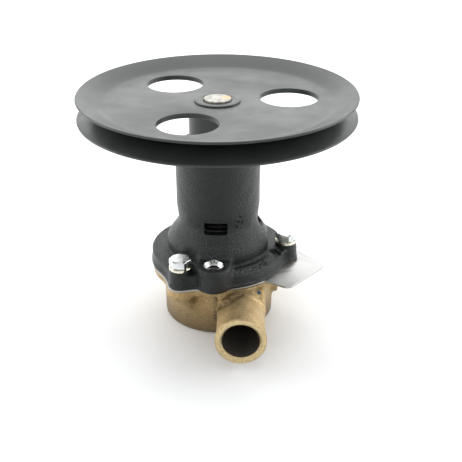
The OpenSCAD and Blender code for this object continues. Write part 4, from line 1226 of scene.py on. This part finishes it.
def pulley_hub():
    """Turned hub with a hand laid weld bead under the discs."""
    under = DISC_JOINT - SHEET
    angles = [math.radians(a) for a in range(0, 91, 15)]
    bead = [(HUB_R + 0.05 + WELD_R * math.sin(a), under - 0.1 - WELD_R * math.cos(a)) for a in angles]

    def wobble(a, r, z):
        if z < under - 3 or r < HUB_R - 0.5 or z > under + 0.5:
            return 0, 0
        ripple = 0.5 * abs(math.sin(17 * a + 0.8 * math.sin(3 * a)))
        ripple += 0.3 * math.sin(5 * a + 1) * math.sin(2 * a)
        reach = (r - HUB_R) / 1.6
        return -0.45 * ripple * reach, -1.1 * ripple * (1 - max(0.0, (z - under + 1.8) / 1.8))

    profile = [(HEAD_R + 0.02, HUB_LOW), (HUB_R - 0.6, HUB_LOW), (HUB_R - 0.18, HUB_LOW + 0.18),
               (HUB_R, HUB_LOW + 0.6), (HUB_R, 136.0), (HUB_R, under - 2.6), (HUB_R, under - 2.0)]
    profile += bead
    profile += [(HUB_R + 1.5, under), (COLLAR_R, under), (COLLAR_R, COLLAR_TOP - 0.45),
                (COLLAR_R - 0.12, COLLAR_TOP - 0.14), (COLLAR_R - 0.45, COLLAR_TOP),
                (HEAD_R + 0.8, COLLAR_TOP), (HEAD_R + 0.02, COLLAR_TOP - 0.5)]
    points, faces = lathe(profile, 240, wobble)
    piece = put("hub", build_mesh("hub", points, faces))
    finish_piece(piece, "rotor", "black_pulley_paint", PULLEY_PAINT, "pulley_hub")


def shaft():
    """Shaft with its snap ring grooves, keyway and serrated end."""
    def wobble(a, r, z):
        if z < TEETH_FROM or r < HEAD_R - 1.2:
            return 0, 0
        return -0.42 * (0.5 + 0.5 * math.cos(TEETH * a)) ** 1.5, 0

    low_groove, step = LOWER_SEAT - GROOVE_W, HUB_LOW + 1.5
    profile = [(0, SHAFT_LOW), (TAIL_R - 0.8, SHAFT_LOW), (TAIL_R, SHAFT_LOW + 0.8), (TAIL_R, 84.75),
               (SEAT_R, 84.75), (SEAT_R, low_groove), (GROOVE_R, low_groove), (GROOVE_R, LOWER_SEAT),
               (SEAT_R, LOWER_SEAT), (SEAT_R, STACK_TOP), (GROOVE_R, STACK_TOP),
               (GROOVE_R, STACK_TOP + GROOVE_W), (SEAT_R, STACK_TOP + GROOVE_W), (SEAT_R, step),
               (HEAD_R, step), (HEAD_R, TEETH_FROM), (HEAD_R, 148.0), (HEAD_R, SHAFT_TOP - 0.5),
               (HEAD_R - 0.15, SHAFT_TOP - 0.15), (HEAD_R - 0.5, SHAFT_TOP), (HEAD_R - 2, SHAFT_TOP),
               (4, SHAFT_TOP), (0, SHAFT_TOP)]
    points, faces = lathe(profile, 320, wobble)
    piece = put("shaft_bar", build_mesh("shaft_bar", points, faces))
    carve(piece, [closed_box(*KEYWAY)])
    finish_piece(piece, "rotor", "shaft_steel", SHAFT_STEEL, "shaft")


# Bolts, washers and balls

def copies_tree():
    """Geometry nodes that put a template at each point, turned by the point's own angle."""
    tree, into, out = group_tree("copies_at_points", "GeometryNodeTree",
                                 [("Geometry", GEOMETRY, None), ("Template", "NodeSocketObject", None),
                                  ("Material", "NodeSocketMaterial", None)],
                                 [("Geometry", GEOMETRY)])
    template = add(tree, "GeometryNodeObjectInfo", {"Object": into["Template"]}).outputs["Geometry"]
    turn = add(tree, "GeometryNodeInputNamedAttribute", {"Name": "turn"}, data_type="FLOAT")
    spin = add(tree, "ShaderNodeCombineXYZ", {2: turn.outputs["Attribute"]}).outputs[0]
    made = add(tree, "GeometryNodeInstanceOnPoints",
               {"Points": into["Geometry"], "Instance": template, "Rotation": spin})
    real = add(tree, "GeometryNodeRealizeInstances", {"Geometry": made.outputs[0]})
    dressed = add(tree, "GeometryNodeSetMaterial",
                  {"Geometry": real.outputs[0], "Material": into["Material"]})
    tree.links.new(dressed.outputs[0], out["Geometry"])
    return tree


COPIES = copies_tree()


def copies(name, template, points, turns, material):
    """One piece made of a template's copies. points are in millimetres and turns in degrees."""
    mesh = bpy.data.meshes.new(name)
    mesh.from_pydata((np.asarray(points, float) * MM).tolist(), [], [])
    turn = mesh.attributes.new("turn", "FLOAT", "POINT")
    turn.data.foreach_set("value", np.radians(np.asarray(turns, float)).astype(np.float32))
    piece = run_tree(put(name, mesh), COPIES, {"Template": template, "Material": material})
    bpy.data.objects.remove(template)
    return piece


def hexagon_r(angle, flat):
    """Radius of a hexagon with barely rounded corners, at an angle from the middle of one side."""
    towards = [math.cos(angle - math.pi * k / 3) for k in range(6)]
    return flat * sum(c ** 80 for c in towards if c > 0) ** (-1 / 80)


def bolt_template():
    """A hexagon head bolt, its seat at height 0, with the corners of the head turned off."""
    n = 120
    flat = HEAD_FLATS / 2
    face_r = flat - 0.5
    angles = [2 * math.pi * k / n for k in range(n)]
    hexagon = [hexagon_r(a, flat) for a in angles]

    def top(r):
        return HEAD_HEIGHT - max(0.0, r - face_r) * math.tan(math.radians(30))

    rows = [[(face_r * share, HEAD_HEIGHT - 0.1 * (1 - share))] * n for share in (0.25, 0.55, 0.78)]
    rows.append([(face_r - 0.25, HEAD_HEIGHT)] * n)
    for share in (0.0, 0.34, 0.67, 1.0):
        chamfer = [face_r + (h - 0.12 - face_r) * share for h in hexagon]
        rows.append([(r, top(r)) for r in chamfer])
    rows.append([(h, top(h) - 0.14) for h in hexagon])
    rows.append([(h, 0.75) for h in hexagon])
    rows.append([(h - 0.5, 0.3) for h in hexagon])
    for r, z in ((flat - 0.6, 0.3), (flat - 0.6, 0.0), (BOLT_R, 0.0), (BOLT_R, 0.9 - BOLT_LENGTH),
                 (3.2, -BOLT_LENGTH)):
        rows.append([(r, z)] * n)
    points = [(r * math.cos(a), r * math.sin(a), z) for row in rows for (r, z), a in zip(row, angles)]
    faces = [(i * n + k, (i + 1) * n + k, (i + 1) * n + (k + 1) % n, i * n + (k + 1) % n)
             for i in range(len(rows) - 1) for k in range(n)]
    points += [(0, 0, HEAD_HEIGHT - 0.12), (0, 0, -BOLT_LENGTH)]
    last = (len(rows) - 1) * n
    faces += [(len(points) - 2, k, (k + 1) % n) for k in range(n)]
    faces += [(len(points) - 1, last + (k + 1) % n, last + k) for k in range(n)]
    return put("bolt_template", build_mesh("bolt_template", points, faces))


def washer_template():
    """A split spring washer, its two ends a little apart in height."""
    steps = 110
    gap = math.radians(13)
    section = ((4.35, 0.25), (4.5, 0.1), (7.0, 0.1), (7.2, 0.3), (7.2, 1.6), (7.0, 1.82), (4.5, 1.82),
               (4.35, 1.65))
    points = []
    for k in range(steps + 1):
        share = k / steps
        a = gap / 2 + (2 * math.pi - gap) * share
        near_end = max(0, abs(share - 0.5) * 2 - 0.9) * 10
        for r, z in section:
            lean = math.radians(5) * (z - 1) * near_end
            lift = 0.16 * (share - 0.5) if z > 0.1 else 0
            points.append((r * math.cos(a + lean), r * math.sin(a + lean), z + lift))
    m = len(section)
    faces = [(k * m + i, (k + 1) * m + i, (k + 1) * m + (i + 1) % m, k * m + (i + 1) % m)
             for k in range(steps) for i in range(m)]
    faces += [tuple(range(m)), tuple(range(steps * m, steps * m + m))[::-1]]
    return put("washer_template", build_mesh("washer_template", points, faces))


def ball_template():
    rows = 24
    profile = [(0, -BALL_R)]
    for k in range(1, rows):
        a = math.pi * k / rows
        profile.append((BALL_R * math.sin(a), -BALL_R * math.cos(a)))
    profile.append((0, BALL_R))
    points, faces = lathe(profile, 40)
    return put("ball_template", build_mesh("ball_template", points, faces))


def fasteners():
    head_turns = [a + t - 30 for a, t in zip(BOLT_AZIMUTHS, HEAD_TURNS)]
    heads = [on_circle(BOLT_CIRCLE, a, LUG_TOP + WASHER_T) for a in BOLT_AZIMUTHS]
    bolts = copies("hex_bolts", bolt_template(), heads, head_turns, ZINC)
    finish_piece(bolts, "pump", "zinc_plate", ZINC, "body_bolts", crease=28)
    seats = [on_circle(BOLT_CIRCLE, a, LUG_TOP) for a in BOLT_AZIMUTHS]
    washers = copies("split_washers", washer_template(), seats, [a + 60 for a in BOLT_AZIMUTHS], WASHER)
    finish_piece(washers, "pump", "zinc_plate", WASHER, "lock_washers", crease=28)


def bearing_balls():
    for which, seat in (("lower", LOWER_SEAT), ("upper", UPPER_SEAT)):
        places = [on_circle(BALL_CIRCLE, 360 / BALL_COUNT * k, seat + BEARING_W / 2)
                  for k in range(BALL_COUNT)]
        balls = copies(which + "_balls", ball_template(), places, [0] * BALL_COUNT, STEEL)
        finish_piece(balls, which + "_ball_set", "bearing_steel", STEEL, which + "_bearing_balls")


def cam_screw():
    """Slotted screw with a rounded head that holds the cam."""
    seat = CAM_BOSS_REACH
    profile = [(0, CAM_SCREW_TIP), (CAM_SCREW_R - 0.4, CAM_SCREW_TIP), (CAM_SCREW_R, CAM_SCREW_TIP + 0.4),
               (CAM_SCREW_R, seat), (CAM_HEAD_R - 0.2, seat), (CAM_HEAD_R, seat + 0.2),
               (CAM_HEAD_R, seat + 2.0)]
    for a in range(15, 90, 15):
        profile.append((CAM_HEAD_R * math.cos(math.radians(a)), seat + 2.0 + 1.5 * math.sin(math.radians(a))))
    profile.append((0, seat + 3.5))
    points, faces = lathe(profile, 72)
    points = stand(points, 0, "x", (0, 0, CAM_Z))
    piece = put("cam_screw_turned", build_mesh("cam_screw_turned", points, faces))
    carve(piece, [closed_box((seat + 2.1, seat + 5), (-6, 6), (CAM_Z - 0.6, CAM_Z + 0.6))])
    finish_piece(piece, "pump", "turned_brass", BRASS, "cam_screw")


# Putting it together

def dress_inner_parts():
    """Copies of CAD pieces with softened edges, for what shows at an edge, through a hole or taken apart."""
    for node, name, width, body, slot, material in (
            ("wear_plate", "stainless_plate", 0.25, "pump", "stainless_plate", PLATE),
            ("body_gasket", "lower_gasket", 0.06, "pump", "gasket_paper", GASKET),
            ("housing_gasket", "upper_gasket", 0.06, "pump", "gasket_paper", GASKET),
            ("impeller", "rubber_impeller", 0.5, "rotor", "impeller_rubber", RUBBER),
            ("impeller_hub", "brass_insert", 0.3, "rotor", "turned_brass", BRASS),
            ("impeller_key", "drive_key", 0.25, "rotor", "shaft_steel", STEEL),
            ("cam", "bronze_cam", 0.3, "pump", "sand_cast_bronze", CUT_BRONZE),
            ("water_seal", "lip_seal_low", 0.15, "pump", "seal_rubber", SEAL_RUBBER),
            ("oil_seal", "lip_seal_high", 0.15, "pump", "seal_rubber", SEAL_RUBBER),
            ("slinger", "slinger_ring", 0.2, "rotor", "seal_rubber", SEAL_RUBBER),
            ("bearing_spacer", "spacer_sleeve", 0.3, "rotor", "bearing_steel", STEEL),
            ("housing_snap_ring", "inner_snap_ring", 0.2, "pump", "spring_steel", SPRING),
            ("shaft_snap_rings", "outer_snap_rings", 0.15, "rotor", "spring_steel", SPRING)):
        softened(node, name, width, body, slot, material)
    for which in ("lower", "upper"):
        ring = which + "_bearing_"
        softened(ring + "outer_race", which + "_outer_ring", 0.4, "pump", "bearing_steel", STEEL)
        softened(ring + "inner_race", which + "_inner_ring", 0.4, "rotor", "bearing_steel", STEEL)
        softened(ring + "cage", which + "_ball_cage", 0.12, which + "_ball_set", "turned_brass", BRASS)
        softened(ring + "shields", which + "_seal_shields", 0.12, "pump", "seal_rubber", SEAL_RUBBER)


def floor():
    """A pale square floor, from -size to size metres."""
    size = 3.0
    mesh = bpy.data.meshes.new("floor")
    corners = [(-size, -size, 0), (size, -size, 0), (size, size, 0), (-size, size, 0)]
    mesh.from_pydata(corners, [], [(0, 1, 2, 3)])
    mesh.materials.append(pale_floor())
    put("floor", mesh)


def studio_tent():
    """A pale tent all round, which the camera, metal and glass see as a white background."""
    world = bpy.data.worlds.new("studio")
    bpy.context.scene.world = world
    world.use_nodes = True
    tree = world.node_tree
    tree.nodes.clear()
    tent = add(tree, "ShaderNodeBackground", {"Color": (0.97, 0.985, 1.0, 1.0), "Strength": 0.84})
    seen = add(tree, "ShaderNodeBackground", {"Color": (1.0, 1.0, 1.0, 1.0), "Strength": 0.96})
    path = add(tree, "ShaderNodeLightPath").outputs
    mirrored = maths(tree, "MAXIMUM", path["Is Glossy Ray"], path["Is Transmission Ray"])
    direct = maths(tree, "MAXIMUM", path["Is Camera Ray"], mirrored)
    both = add(tree, "ShaderNodeMixShader", {0: direct, 1: tent.outputs[0], 2: seen.outputs[0]})
    add(tree, "ShaderNodeOutputWorld", {"Surface": both.outputs[0]})


def softboxes():
    """Four lamps, each (name, place, width, height, watts) in metres, that face the pump."""
    for name, place, width, height, watts in (("back_box", (0.0, 1.9, 1.05), 3.0, 1.5, 22.0),
                                              ("top_box", (0.0, 0.7, 1.9), 1.8, 1.2, 16.0),
                                              ("right_box", (1.3, 0.3, 0.55), 1.0, 0.9, 11.5),
                                              ("left_box", (-1.3, 0.3, 0.55), 1.0, 0.9, 9.5)):
        lamp = bpy.data.lights.new(name, "AREA")
        lamp.shape, lamp.size, lamp.size_y, lamp.energy = "RECTANGLE", width, height, watts
        box = bpy.data.objects.new(name, lamp)
        bpy.context.scene.collection.objects.link(box)
        box.location = place
        box.rotation_euler = (Vector((0, 0, 0.09)) - Vector(place)).to_track_quat("-Z", "Y").to_euler()
        box.visible_camera = False


def camera():
    """The photograph's camera, as fitted to points read from it, in metres."""
    lens = bpy.data.cameras.new("camera")
    lens.lens, lens.sensor_width = 66.8, 36.0
    lens.clip_start, lens.clip_end = 0.01, 30.0
    eye = bpy.data.objects.new("camera", lens)
    bpy.context.scene.collection.objects.link(eye)
    eye.location = (0.0179, -0.5206, 0.3221)
    eye.rotation_euler = (math.radians(63.13), 0.0, math.radians(1.03))
    bpy.context.scene.camera = eye


pump_body()
bearing_housing()
boss_threads()
discs = disc_tree()
stamped_disc("upper_disc", "pulley_upper_disc", discs, False)
stamped_disc("lower_disc", "pulley_lower_disc", discs, True)
pulley_hub()
shaft()
fasteners()
bearing_balls()
cam_screw()
dress_inner_parts()
floor()
studio_tent()
softboxes()
camera()
bpy.context.scene.view_settings.view_transform = "Standard"
